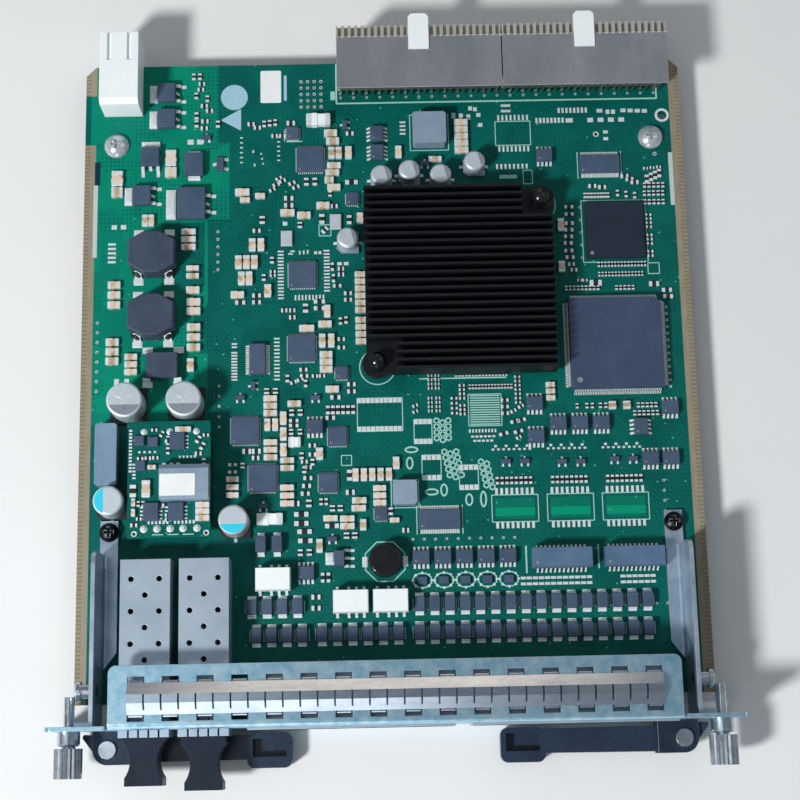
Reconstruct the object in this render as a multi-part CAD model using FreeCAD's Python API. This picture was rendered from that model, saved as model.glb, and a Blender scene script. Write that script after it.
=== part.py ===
import FreeCAD, Part
import math
import os

# Auxiliary interface board: a populated circuit board behind a bent steel front panel.
# Millimetres. The origin lies midway between the two panel screws, on the panel's front face.
# X runs along the panel, Y from the panel towards the backplane, Z up off the board.

V = FreeCAD.Vector

# Two places this near to each other are one
hair = 1e-6

# Circuit board
board_width = 183.4
board_depth = 200.0
board_thickness = 2.0
board_back_chamfer = 3.0
board_notch_width = 12.3
board_notch_depth = 5.5
tooling_hole_diameter = 2.6
tooling_hole_inset = 5.7
tooling_hole_back = 18.8

# Front panel
panel_width = 193.8
panel_height = 25.4
panel_sheet = 1.2
panel_bend = 1.8
panel_corner = 2.5
panel_board_gap = 0.8
board_rise = 5.5
flange_width = 158.4
flange_corner = 2.2
top_flange_depth = 17.5
bottom_flange_depth = 10.0
relief_width = 0.8
relief_depth = 3.0
cutout_clearance = 0.35

# Spring strip in the slots of the panel's top flange
slot_count = 16
slot_pitch = 9.525
slot_length = 4.7
slot_width = 2.2
slot_row_front = 3.3
slot_row_back = 13.3
strip_sheet = 0.3
strip_web_gap = 0.1
strip_crest = 2.4
strip_crest_width = 2.4
strip_slit = 0.5
strip_tab_width = 3.9
strip_tab_depth = 1.7

# Side rails
rail_inset = 6.9
rail_sheet = 1.2
rail_bend = 1.0
rail_wall_height = 15.6
rail_wall_end = 50.0
rail_wall_corner = 4.0
rail_flange_width = 5.2
rail_flange_start = 22.0
rail_tab_length = 10.0
rail_foot_width = 4.3
rail_foot_low = 3.0
rail_foot_high = 14.0
rail_screw_back = 3.4
stud_panel_distance = 9.8
stud_height = 9.0
stud_neck_diameter = 4.0
stud_neck_length = 3.2
stud_head_diameter = 5.6
stud_head_edge = 1.1
stud_head_crown = 0.9

# Screws that hold the rails and the back of the board
screw_thread_diameter = 3.0
screw_hole_clearance = 0.2
screw_head_diameter = 5.6
screw_head_edge = 0.8
screw_head_crown = 1.4
screw_recess_length = 3.0
screw_recess_width = 0.8
screw_recess_depth = 1.1
screw_tail = 1.6
dome_head_diameter = 7.6
dome_head_edge = 0.6
dome_head_crown = 2.2
dome_edge_inset = 9.7
dome_back_inset = 26.0
nut_width = 5.5
nut_height = 2.4
nut_clearance = 0.05

# Captive thumbscrews
thumb_end_inset = 4.9
thumb_shank_diameter = 4.0
thumb_running_gap = 0.05
thumb_collar_diameter = 6.4
thumb_collar_length = 4.0
thumb_collar_edge = 0.5
thumb_knob_gap = 0.6
thumb_knob_diameter = 8.0
thumb_knob_length = 8.3
thumb_knurls = 20
thumb_knurl_depth = 0.35
thumb_thread_diameter = 3.0
thumb_thread_length = 9.6
thumb_ear_clearance = 1.25
thumb_neck_length = 0.7
thumb_neck_step = 0.2
thumb_slot_width = 1.2
thumb_slot_depth = 1.4

# Ejector levers and their brackets
lever_pivot_inset = 14.9
lever_pivot_reach = 5.2
lever_height = 4.2
lever_gap = 0.3
lever_hub_radius = 3.7
lever_arm_length = 44.0
lever_arm_radius = 3.4
lever_claw_length = 7.5
lever_claw_radius = 0.8
lever_claw_angle = 29.0
lever_grip_length = 12.8
lever_grip_width = 9.8
lever_grip_corner = 2.2
lever_grip_wall = 1.6
lever_grip_floor = 1.2
lever_grip_overlap = 4.5
lever_grip_offset = 1.0
lever_window_inner = 2.1
lever_window_outer = 9.5
lever_window_top_gap = 0.4
bracket_sheet = 1.2
bracket_lift = 0.1
bracket_hub_radius = 4.2
bracket_length = 7.5
bracket_web_length = 5.0
pin_diameter = 3.0
pin_running_gap = 0.05
pin_head_diameter = 5.0
pin_head_height = 0.8

# Module cages, their sockets and dust plugs
cage_width = 14.2
cage_height = 9.8
cage_wall = 0.5
cage_reach = 2.0
cage_back = 47.7
cage_pitch = 16.65
cage_first_x = -70.4
cage_hole_diameter = 1.6
cage_hole_pitch = 4.57
cage_hole_rows = 6
cage_hole_offset = 4.0
cage_hole_back_inset = 5.6
cage_slit = 0.5
cage_slit_length = 5.0
cage_slits = 4
socket_width = 11.0
socket_length = 9.0
socket_height = 6.0
socket_back_gap = 3.2
socket_slot_width = 9.2
socket_slot_height = 1.4
socket_slot_depth = 6.0
socket_lead = 1.2
plug_clearance = 0.3
plug_stub_length = 15.0
plug_grip_length = 12.9
plug_shoulder = 0.4
plug_waist_width = 7.6
plug_end_width = 10.6
plug_end_length = 2.2
plug_waist_reach = 6.4
plug_pocket_wall = 1.2
plug_pocket_depth = 12.0
plug_right_slack = 1.5

# Ganged data jacks
jack_ports = 4
jack_side = 0.9
jack_depth = 16.4
jack_height = 13.3
jack_shell = 0.4
jack_reach = 0.6
jack_gap = 4.5
jack_cage_gap = 5.45
jack_rail_gap = 4.94
port_wall = 2.17
port_height = 8.0
port_floor = 3.4
port_depth = 12.5
latch_width = 6.2
latch_height = 2.0

# Processor, its pad, the heat sink and its push pins
processor_width = 35.0
processor_height = 2.2
pad_width = 30.0
pad_thickness = 0.5
sink_width = 56.3
sink_base = 2.6
sink_height = 8.4
sink_fins = 24
sink_fin_thickness = 0.85
sink_lobe_radius = 4.4
sink_pin_inset = 3.2
sink_pin_clear = 9.0
push_pin_diameter = 2.8
push_pin_clearance = 0.1
push_pin_head_diameter = 5.2
push_pin_head_edge = 3.2
push_pin_head_crown = 1.6
push_pin_point = 0.7
push_pin_tail = 1.6
push_pin_barb = 0.4

# Backplane connectors
plane_centre_x = 36.2
plane_module_width = 50.0
plane_module_gap = 0.4
plane_columns = 25
plane_column_pitch = 2.0
plane_overhang = 6.7
plane_length = 20.3
plane_height = 12.6
plane_shield_overhang = 4.6
plane_tail_reach = 1.6
plane_tail_drop = 4.6
plane_tail_width = 0.5
plane_notch_width = 1.0
plane_notch_length = 3.4
plane_notch_depth = 1.4
shield_sheet = 0.4
shield_back_inset = 4.0
key_width = 6.2
key_length = 11.5
key_height = 1.6
key_reach = 3.4
key_lead = 1.0

# Power connector
power_width = 11.7
power_length = 22.8
power_height = 11.5
power_edge_inset = 5.9
power_overhang = 6.5
power_front_slope = 1.6
power_cavity_width = 9.3
power_cavity_height = 7.6
power_cavity_depth = 9.0
power_groove_width = 1.2
power_groove_depth = 0.8
power_groove_length = 9.0
power_groove_offset = 3.0

# Chips
package_draft = 0.25
package_lift = 0.15
quad_chip_width = 28.0
quad_chip_height = 3.4
quad_chip_corner = 2.2
quad_chip_sink_gap = 4.2
memory_chip_width = 18.0
memory_chip_height = 1.5
flash_length = 12.4
flash_width = 6.0
flash_height = 1.2
outline_length = 5.1
outline_width = 4.1
outline_height = 1.7
driver_length = 9.7
driver_width = 5.0
leadless_wide = 8.5
leadless_middle = 5.8
leadless_small = 4.0
leadless_height = 1.0
crystal_length = 5.0
crystal_width = 3.6
transistor_length = 6.2
transistor_width = 5.8
transistor_height = 2.4
wide_transistor_length = 10.2
wide_transistor_width = 8.8
power_diode_length = 7.4
power_diode_width = 6.0
clamp_length = 4.8
clamp_width = 3.3
diode_length = 4.4
diode_width = 3.3
diode_height = 2.2

# Wound parts and relays
line_transformer_length = 17.6
line_transformer_width = 6.0
line_transformer_height = 5.4
relay_length = 10.3
relay_width = 6.8
relay_height = 5.2
round_choke_diameter = 9.4
round_choke_height = 5.0
round_choke_flange = 1.2
round_choke_waist = 7.0
power_choke_length = 13.8
power_choke_width = 12.8
power_choke_height = 6.8
power_choke_corner_length = 4.6
power_choke_corner_width = 2.6
power_choke_edge = 0.35
block_choke_length = 9.6
block_choke_width = 7.8
shielded_choke_width = 10.2
shielded_choke_height = 4.6
small_choke_width = 7.1
small_choke_height = 3.8
choke_edge = 0.6

# Capacitors
large_can_diameter = 10.4
large_can_height = 10.4
polymer_can_diameter = 8.6
polymer_can_height = 9.0
small_can_diameter = 6.3
small_can_height = 6.0
can_base_height = 1.0
can_base_margin = 0.15
can_base_corner = 1.4
can_edge = 0.5
can_sink_gap = 1.9

# Converter board and the power module beside it
converter_width = 24.0
converter_depth = 34.2
converter_sheet = 1.6
converter_lift = 5.2
converter_chip_length = 5.5
converter_chip_width = 4.6
converter_chip_small = 3.1
header_width = 2.4
header_length = 24.0
converter_block_length = 14.2
converter_block_width = 10.2
converter_block_height = 5.6
converter_block_step = 1.4
converter_block_shift = 1.5
module_width = 6.4
module_length = 18.4
module_height = 5.0

# Places of the small parts: x from the board's middle and y from the panel's front face, on a board
# with this half width and this back edge
layout_half_width = 91.7
layout_back = 202.0
power_column = -50.0
power_front = 100.0
signal_front = 62.0
sink_place = (21.6, 129.8)
quad_chip_y = 110.4
memory_place = (69.5, 146.0)
flash_places = [(65.9, 167.3), (14.0, 58.7)]
outline_places = [(49.0, 170.3), (-22.2, 86.9), (43.0, 92.7), (43.1, 82.7), (49.8, 86.5), (56.2, 86.5),
                  (62.6, 86.5), (83.2, 90.7), (76.6, 75.5), (82.6, 75.5), (-25.2, 43.8)]
outline_turned_place = (74.2, 85.1)
array_y = 47.6
array_count = 5
array_gap = 1.2
array_choke_gap = 3.25
driver_place = (-39.0, 107.7)
leadless_wide_places = [(-22.7, 170.5), (-25.4, 133.8), (-25.8, 111.0), (-42.7, 86.2), (-37.6, 71.9)]
leadless_middle_places = [(-18.4, 70.1), (-15.5, 83.9)]
leadless_small_places = [(-14.0, 103.1), (-10.0, 157.5), (-3.1, 60.6), (-28.0, 179.0)]
crystal_places = [(-30.1, 145.3), (-15.2, 150.3)]
transistor_places = [(-66.7, 192.6), (-66.7, 184.2), (-71.5, 171.9), (-74.0, 159.5)]
wide_transistor_place = (-58.9, 156.7)
power_diode_place = (-58.2, 169.2)
clamp_places = [(-15.5, 47.8), (-38.2, 52.3), (-33.5, 52.3)]
diode_front_y = 26.0
diode_back_y = 34.2
diode_left_count = 4
diode_middle_count = 6
diode_right_count = 16
diode_gap = 1.1
diode_front_gaps = (5.4, 2.4, 2.8, 4.55)
diode_back_gaps = (4.1, 8.6, 1.2, 1.5, 4.45)
line_transformer_y = 46.5
line_transformer_gaps = (4.15, 3.4, 0.8)
relay_place = (-34.6, 41.9)
relay_row_y = 35.1
round_choke_place = (-2.2, 46.7)
power_choke_places = [(-70.2, 140.2), (-70.3, 120.8)]
block_choke_place = (-67.2, 106.0)
shielded_choke_place = (13.9, 178.8)
small_choke_place = (4.0, 66.5)
large_can_places = [(-77.1, 94.2), (-59.9, 94.2)]
polymer_can_places = [(-81.6, 64.9), (-45.6, 58.7)]
small_can_row = [(-1.1, 0.0), (7.4, 1.5), (16.9, 0.0), (27.3, 4.0)]
supply_chip_x = -2.2
supply_gaps = (2.05, 3.05, 1.0, 7.5)
single_can_y = 143.6
converter_middle = (-64.3, 71.1)
power_module_place = (-83.1, 79.2)

# Places of the packages on the converter board, from its middle
converter_wide_places = [(2.4, 11.2), (-5.0, -9.5), (2.2, -9.5)]
converter_small_places = [(-4.6, 11.0), (-8.6, 11.4), (-8.2, 4.0)]

# Derived places
panel_top = panel_height / 2
panel_bottom = -panel_height / 2
board_bottom = panel_bottom + board_rise
board_top = board_bottom + board_thickness
board_front = panel_sheet + panel_board_gap
board_back = board_front + board_depth
rail_outer = board_width / 2 - rail_inset
thumb_x = panel_width / 2 - thumb_end_inset
pivot_x = panel_width / 2 - lever_pivot_inset
bracket_bottom = panel_bottom + bracket_lift
lever_bottom = bracket_bottom + bracket_sheet + lever_gap
lever_top = lever_bottom + lever_height
bracket_top = lever_top + lever_gap + bracket_sheet
screw_hole_radius = screw_thread_diameter / 2 + screw_hole_clearance
rail_screw_x = rail_outer - rail_flange_width / 2
rail_screw_y = rail_wall_end + rail_tab_length - rail_screw_back
dome_x = board_width / 2 - dome_edge_inset
dome_y = board_back - dome_back_inset
sink_bottom = board_top + processor_height + pad_thickness
sink_pin_reach = sink_width / 2 - sink_pin_inset
converter_bottom = board_top + converter_lift
converter_top = converter_bottom + converter_sheet
plane_back = board_back + plane_overhang


def spot(x, y):
    """Place on the board. Parts near the left edge and the panel keep their distance, others share the room."""
    shift = board_width / 2 - layout_half_width
    fixed_x = power_column - shift
    fixed_y = power_front if x < power_column else signal_front
    place_x = x - shift
    place_y = y
    if x > power_column:
        spread = (board_width / 2 - fixed_x) / (layout_half_width - power_column)
        place_x = fixed_x + (x - power_column) * spread
    if y > fixed_y:
        spread = (board_back - fixed_y) / (layout_back - fixed_y)
        place_y = fixed_y + (y - fixed_y) * spread
    return place_x, place_y


def in_line(start, end, lengths, gaps):
    """Middles of pieces in line between two edges. They keep their lengths, and the gaps share the room."""
    share = (end - start - sum(lengths)) / sum(gaps)
    middles = []
    edge = start
    for length, gap in zip(lengths, gaps):
        edge += gap * share
        middles.append(edge + length / 2)
        edge += length
    return middles


def span(x0, x1, y0, y1, z0, z1):
    """Box between two corners."""
    return Part.makeBox(x1 - x0, y1 - y0, z1 - z0, V(x0, y0, z0))


def block(x, y, z, length, width, height):
    """Box centred on x and y that stands on z."""
    return Part.makeBox(length, width, height, V(x - length / 2, y - width / 2, z))


def post(x, y, z, radius, height):
    """Upright cylinder on z."""
    return Part.makeCylinder(radius, height, V(x, y, z))


def plate(points, z, height):
    """Upright prism on a plan outline."""
    corners = [V(px, py, z) for px, py in points]
    outline = Part.makePolygon(corners + corners[:1])
    return Part.Face(outline).extrude(V(0, 0, height))


def run(points, x, length):
    """Prism along X on a section of (y, z) points."""
    corners = [V(x, py, pz) for py, pz in points]
    outline = Part.makePolygon(corners + corners[:1])
    return Part.Face(outline).extrude(V(length, 0, 0))


def turned(profile):
    """Body turned about Z from (radius, z) points."""
    corners = [V(r, 0, z) for r, z in profile]
    outline = Part.makePolygon(corners + corners[:1])
    return Part.Face(outline).revolve(V(0, 0, 0), V(0, 0, 1), 360)


def domed(profile, crown):
    """Body turned about Z from (radius, z) points, closed by a round cap that rises by the crown."""
    corners = [V(r, 0, z) for r, z in profile]
    rim = corners[-1]
    top = V(0, 0, rim.z + crown)
    sphere = (rim.x ** 2 + crown ** 2) / (2 * crown)
    half = rim.x / 2
    middle = V(half, 0, top.z - sphere + math.sqrt(sphere ** 2 - half ** 2))
    edges = [Part.LineSegment(a, b).toShape() for a, b in zip(corners, corners[1:])]
    edges.append(Part.Arc(rim, middle, top).toShape())
    edges.append(Part.LineSegment(top, corners[0]).toShape())
    return Part.Face(Part.Wire(edges)).revolve(V(0, 0, 0), V(0, 0, 1), 360)


def moved(shape, x, y, z):
    """Copy of a shape at another place."""
    copy = shape.copy()
    copy.translate(V(x, y, z))
    return copy


def laid_back(shape):
    """Copy of a shape with its Z axis turned to point along Y."""
    copy = shape.copy()
    copy.rotate(V(0, 0, 0), V(1, 0, 0), -90)
    return copy


def mirrored(shape):
    """Copy of a shape on the other side of the middle plane."""
    return shape.mirror(V(0, 0, 0), V(1, 0, 0))


def bar(first, first_radius, second, second_radius, z, height):
    """Prism round two circles and the lines that touch both."""
    dx = second[0] - first[0]
    dy = second[1] - first[1]
    lean = math.acos((first_radius - second_radius) / math.hypot(dx, dy))
    heading = math.atan2(dy, dx)

    def rim(centre, radius, angle):
        return V(centre[0] + radius * math.cos(angle), centre[1] + radius * math.sin(angle), z)

    left = heading + lean
    right = heading - lean
    edges = [
        Part.LineSegment(rim(first, first_radius, right), rim(second, second_radius, right)).toShape(),
        Part.Arc(rim(second, second_radius, right), rim(second, second_radius, heading),
                 rim(second, second_radius, left)).toShape(),
        Part.LineSegment(rim(second, second_radius, left), rim(first, first_radius, left)).toShape(),
        Part.Arc(rim(first, first_radius, left), rim(first, first_radius, heading + math.pi),
                 rim(first, first_radius, right)).toShape(),
    ]
    return Part.Face(Part.Wire(edges)).extrude(V(0, 0, height))


def upright_edges(shape, test):
    """Vertical edges of a shape whose middle passes a test."""
    chosen = []
    for edge in shape.Edges:
        first = edge.Vertexes[0].Point
        last = edge.Vertexes[-1].Point
        upright = abs(first.x - last.x) < hair and abs(first.y - last.y) < hair
        if upright and edge.Length > hair and test((first + last) / 2):
            chosen.append(edge)
    return chosen


def moulded(x, y, length, width, height, base=board_top):
    """Moulded package whose halves taper away from the parting line round its sides."""
    low = base + package_lift
    levels = [(low, package_draft), (low + height / 2, 0), (low + height, package_draft)]
    wires = []
    for z, inset in levels:
        half_length = length / 2 - inset
        half_width = width / 2 - inset
        corners = [V(x - half_length, y - half_width, z), V(x + half_length, y - half_width, z),
                   V(x + half_length, y + half_width, z), V(x - half_length, y + half_width, z)]
        wires.append(Part.makePolygon(corners + corners[:1]))
    return Part.makeLoft(wires, True, True)


def chips(places, length, width, height):
    """Like packages at several places on the board."""
    return [moulded(*spot(x, y), length, width, height) for x, y in places]


def circuit_board():
    """Laminate with notched front corners, cut back corners and its holes."""
    half = board_width / 2
    notch_x = half - board_notch_width
    notch_y = board_front + board_notch_depth
    cut = board_back_chamfer
    outline = [(-notch_x, board_front), (notch_x, board_front), (notch_x, notch_y), (half, notch_y),
               (half, board_back - cut), (half - cut, board_back), (cut - half, board_back),
               (-half, board_back - cut), (-half, notch_y), (-notch_x, notch_y)]
    board = plate(outline, board_bottom, board_thickness)
    holes = [post(half - tooling_hole_inset, board_back - tooling_hole_back, board_bottom,
                  tooling_hole_diameter / 2, board_thickness)]
    for side in (-1, 1):
        for x, y in ((rail_screw_x, rail_screw_y), (dome_x, dome_y)):
            holes.append(post(side * x, y, board_bottom, screw_hole_radius, board_thickness))
    for x, y in push_pin_places():
        holes.append(post(x, y, board_bottom, push_pin_diameter / 2 + push_pin_clearance, board_thickness))
    return board.cut(holes)


def panel_section():
    """Section of the panel's face with its two flanges, bent from one sheet."""
    t = panel_sheet
    r = panel_bend
    inner = r - t
    turn = r * (1 - math.sqrt(0.5))
    inner_turn = inner * (1 - math.sqrt(0.5))
    top = panel_top
    low = panel_bottom

    def line(y0, z0, y1, z1):
        return Part.LineSegment(V(0, y0, z0), V(0, y1, z1)).toShape()

    def arc(y0, z0, ym, zm, y1, z1):
        return Part.Arc(V(0, y0, z0), V(0, ym, zm), V(0, y1, z1)).toShape()

    edges = [
        line(top_flange_depth, top, r, top),
        arc(r, top, turn, top - turn, 0, top - r),
        line(0, top - r, 0, low + r),
        arc(0, low + r, turn, low + turn, r, low),
        line(r, low, bottom_flange_depth, low),
        line(bottom_flange_depth, low, bottom_flange_depth, low + t),
        line(bottom_flange_depth, low + t, r, low + t),
        arc(r, low + t, t + inner_turn, low + t + inner_turn, t, low + r),
        line(t, low + r, t, top - r),
        arc(t, top - r, t + inner_turn, top - t - inner_turn, r, top - t),
        line(r, top - t, top_flange_depth, top - t),
        line(top_flange_depth, top - t, top_flange_depth, top),
    ]
    return Part.Face(Part.Wire(edges))


def slot_places():
    """Middles of the spring strip's slots along the flange."""
    first = -(slot_count - 1) * slot_pitch / 2
    return [first + slot_pitch * index for index in range(slot_count)]


def cage_places():
    """Middles of the two module cages."""
    return [spot(cage_first_x, 0)[0] + cage_pitch * index for index in range(2)]


cage_right = cage_places()[1] + cage_width / 2
jack_left = cage_right + jack_cage_gap
jack_right = rail_outer - rail_sheet - jack_rail_gap
jack_width = (jack_right - jack_left - jack_gap) / 2
jack_port_pitch = (jack_width - 2 * jack_side) / jack_ports
port_width = jack_port_pitch - port_wall
sink_x, sink_y = spot(*sink_place)
sink_right = sink_x + sink_width / 2
sink_back = sink_y + sink_width / 2


def jack_places():
    """Left edges of the two jack blocks."""
    return [jack_left, jack_left + jack_width + jack_gap]


def front_panel():
    """Face with ears, flanges and the openings for cages, jacks, levers and screws."""
    half = panel_width / 2
    half_flange = flange_width / 2
    middle = panel_section().extrude(V(flange_width, 0, 0))
    middle.translate(V(-half_flange, 0, 0))
    panel = middle
    for side in (-1, 1):
        inner = half_flange + relief_width
        ear = span(inner, half, 0, panel_sheet, panel_bottom, panel_top)
        outer_edges = [edge for edge in ear.Edges
                       if abs(edge.CenterOfMass.x - half) < hair and edge.Length < panel_sheet + hair]
        ear = ear.makeFillet(panel_corner, outer_edges)
        bridge = span(half_flange, inner, 0, panel_sheet,
                      panel_bottom + relief_depth, panel_top - relief_depth)
        wing = ear.fuse(bridge)
        panel = panel.fuse(wing if side > 0 else mirrored(wing))
    panel = panel.removeSplitter()
    c = cutout_clearance
    deep = panel_sheet * 3
    cuts = []
    for x in cage_places():
        cuts.append(span(x - cage_width / 2 - c, x + cage_width / 2 + c, -deep, deep,
                         board_top - c, board_top + cage_height + c))
    for x in jack_places():
        cuts.append(span(x - c, x + jack_width + c, -deep, deep, board_top - c, board_top + jack_height + c))
    for side in (-1, 1):
        x0 = side * (pivot_x - lever_window_inner)
        x1 = side * (pivot_x + lever_window_outer)
        cuts.append(span(min(x0, x1), max(x0, x1), -deep, deep, panel_bottom - deep,
                         bracket_top + lever_window_top_gap))
        hole = Part.makeCylinder(thumb_thread_diameter / 2 + thumb_ear_clearance, 2 * deep,
                                 V(side * thumb_x, -deep, 0), V(0, 1, 0))
        cuts.append(hole)
    for x in slot_places():
        for y in (slot_row_front, slot_row_back):
            cuts.append(span(x - slot_length / 2, x + slot_length / 2, y - slot_width / 2, y + slot_width / 2,
                             panel_top - deep, panel_top + deep))
    panel = panel.cut(cuts)
    corners = upright_edges(panel, lambda p: p.z > panel_top - panel_sheet and p.y > top_flange_depth - hair)
    return panel.makeFillet(flange_corner, corners)


def spring_strip():
    """Folded spring strip: slit fingers over a crest, with tabs that hook into the flange's slots."""
    length = (slot_count - 1) * slot_pitch + slot_length
    t = strip_sheet
    front = slot_row_front + slot_width / 2 - strip_web_gap
    back = slot_row_back - slot_width / 2 + strip_web_gap
    middle = (front + back) / 2
    low = panel_top
    high = panel_top + strip_crest
    half_crest = strip_crest_width / 2
    section = [(front, low), (middle - half_crest, high - t), (middle + half_crest, high - t), (back, low),
               (back + t, low), (back + t, low + t), (middle + half_crest, high), (middle - half_crest, high),
               (front - t, low + t), (front - t, low)]
    strip = run(section, -length / 2, length)
    cuts = []
    fingers = 2 * slot_count - 1
    finger_pitch = slot_pitch / 2
    for index in range(fingers - 1):
        x = -length / 2 + slot_length / 2 + finger_pitch * (index + 0.5)
        cuts.append(span(x - strip_slit / 2, x + strip_slit / 2, front + 3 * t, middle + half_crest,
                         low + 2 * t, high + t))
    strip = strip.cut(cuts)
    tabs = []
    for x in slot_places():
        for y in (front - t, back):
            tabs.append(span(x - strip_tab_width / 2, x + strip_tab_width / 2, y, y + t,
                             low - strip_tab_depth, low + t))
    return strip.fuse(tabs).removeSplitter()


def side_rail(side):
    """Angle bracket: flange on the board, wall along it and a foot against the panel."""
    outer = rail_outer
    inner = outer - rail_sheet
    tab_end = rail_wall_end + rail_tab_length
    wall = span(inner, outer, panel_sheet, rail_wall_end, board_top, board_top + rail_wall_height)
    top_back = [e for e in wall.Edges
                if abs(e.CenterOfMass.y - rail_wall_end) < hair
                and abs(e.CenterOfMass.z - board_top - rail_wall_height) < hair]
    wall = wall.makeFillet(rail_wall_corner, top_back)
    flange = plate([(inner, rail_flange_start - rail_flange_width), (inner, tab_end),
                    (outer - rail_flange_width, tab_end), (outer - rail_flange_width, rail_flange_start)],
                   board_top, rail_sheet)
    tab = span(inner, outer, rail_wall_end, tab_end, board_top, board_top + rail_sheet)
    foot = span(inner, outer + rail_foot_width, panel_sheet, panel_sheet + rail_sheet,
                board_top + rail_foot_low, board_top + rail_foot_high)
    rail = wall.fuse([flange, tab, foot]).removeSplitter()
    bend = [e for e in rail.Edges
            if abs(e.CenterOfMass.x - inner) < hair
            and abs(e.CenterOfMass.z - board_top - rail_sheet) < hair
            and e.Length > rail_wall_end - rail_flange_start]
    rail = rail.makeFillet(rail_bend, bend)
    stud_y = panel_sheet + stud_panel_distance
    stud_hole = Part.makeCylinder(stud_neck_diameter / 2, 2 * rail_sheet,
                                  V(inner - rail_sheet / 2, stud_y, board_top + stud_height), V(1, 0, 0))
    screw_hole = post(rail_screw_x, rail_screw_y, board_top, screw_hole_radius, rail_sheet)
    rail = rail.cut([stud_hole, screw_hole])
    return rail if side > 0 else mirrored(rail)


def side_studs():
    """Shouldered studs riveted into the rails' walls."""
    neck = stud_neck_diameter / 2
    head = stud_head_diameter / 2
    start = -rail_sheet
    profile = [(0, start), (neck, start), (neck, stud_neck_length), (head, stud_neck_length),
               (head, stud_neck_length + stud_head_edge)]
    stud = domed(profile, stud_head_crown)
    stud.rotate(V(0, 0, 0), V(0, 1, 0), 90)
    stud.translate(V(rail_outer, panel_sheet + stud_panel_distance, board_top + stud_height))
    return Part.makeCompound([mirrored(stud), stud])


def pan_screw(x, y, seat, head_diameter, edge, crown, tail_end):
    """Round-headed screw with a cross recess, its head on the seat and its tail below."""
    radius = screw_thread_diameter / 2
    rim = head_diameter / 2
    profile = [(0, tail_end - seat), (radius, tail_end - seat), (radius, 0), (rim, 0), (rim, edge)]
    screw = domed(profile, crown)
    floor = edge + crown - screw_recess_depth
    cross = [block(0, 0, floor, screw_recess_length, screw_recess_width, crown),
             block(0, 0, floor, screw_recess_width, screw_recess_length, crown)]
    return moved(screw.cut(cross), x, y, seat)


def rail_screws():
    """Screws through the rails' tabs and the board."""
    seat = board_top + rail_sheet
    tail_end = board_bottom - screw_tail
    return Part.makeCompound([pan_screw(side * rail_screw_x, rail_screw_y, seat, screw_head_diameter,
                                        screw_head_edge, screw_head_crown, tail_end) for side in (-1, 1)])


def dome_screws():
    """Large dome-headed screws at the back corners."""
    tail_end = board_bottom - nut_height
    return Part.makeCompound([pan_screw(side * dome_x, dome_y, board_top, dome_head_diameter,
                                        dome_head_edge, dome_head_crown, tail_end) for side in (-1, 1)])


def dome_nuts():
    """Hexagon nuts under the board on the dome-headed screws."""
    across = nut_width / 2 / math.cos(math.pi / 6)
    nuts = []
    for side in (-1, 1):
        x = side * dome_x
        low = board_bottom - nut_height
        turns = [math.pi / 3 * k for k in range(6)]
        corners = [(x + across * math.cos(turn), dome_y + across * math.sin(turn)) for turn in turns]
        nut = plate(corners, low, nut_height)
        bore = post(x, dome_y, low, screw_thread_diameter / 2 + nut_clearance, nut_height)
        nuts.append(nut.cut(bore))
    return Part.makeCompound(nuts)


def thumbscrew(side):
    """Captive screw: knurled knob, plain shank in the collar, neck and threaded end."""
    knob_start = -thumb_collar_length - thumb_knob_gap
    knob_end = knob_start - thumb_knob_length
    rim = thumb_knob_diameter / 2
    outline = []
    for index in range(2 * thumb_knurls):
        radius = rim if index % 2 == 0 else rim - thumb_knurl_depth
        angle = math.pi * index / thumb_knurls
        outline.append((radius * math.cos(angle), radius * math.sin(angle)))
    knob = plate(outline, knob_end, thumb_knob_length)
    shank = thumb_shank_diameter / 2
    thread = thumb_thread_diameter / 2
    neck = thread - thumb_neck_step
    stem = turned([(0, knob_start), (shank, knob_start), (shank, -thumb_neck_length), (neck, -thumb_neck_length),
                   (neck, 0), (thread, 0), (thread, thumb_thread_length), (0, thumb_thread_length)])
    slot = block(0, 0, knob_end, thumb_knob_diameter, thumb_slot_width, thumb_slot_depth)
    screw = laid_back(knob.fuse(stem).cut(slot))
    return moved(screw, side * thumb_x, 0, 0)


def thumb_collars():
    """Collars on the panel's ears that the captive screws turn in."""
    outer = thumb_collar_diameter / 2
    bore = thumb_shank_diameter / 2 + thumb_running_gap
    edge = thumb_collar_edge
    mouth = thumb_thread_diameter / 2 + thumb_ear_clearance
    profile = [(bore, -thumb_collar_length), (outer - edge, -thumb_collar_length),
               (outer, edge - thumb_collar_length), (outer, 0), (mouth, 0),
               (mouth, -thumb_neck_length), (bore, -thumb_neck_length)]
    collar = laid_back(turned(profile))
    return Part.makeCompound([moved(collar, side * thumb_x, 0, 0) for side in (-1, 1)])


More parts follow.
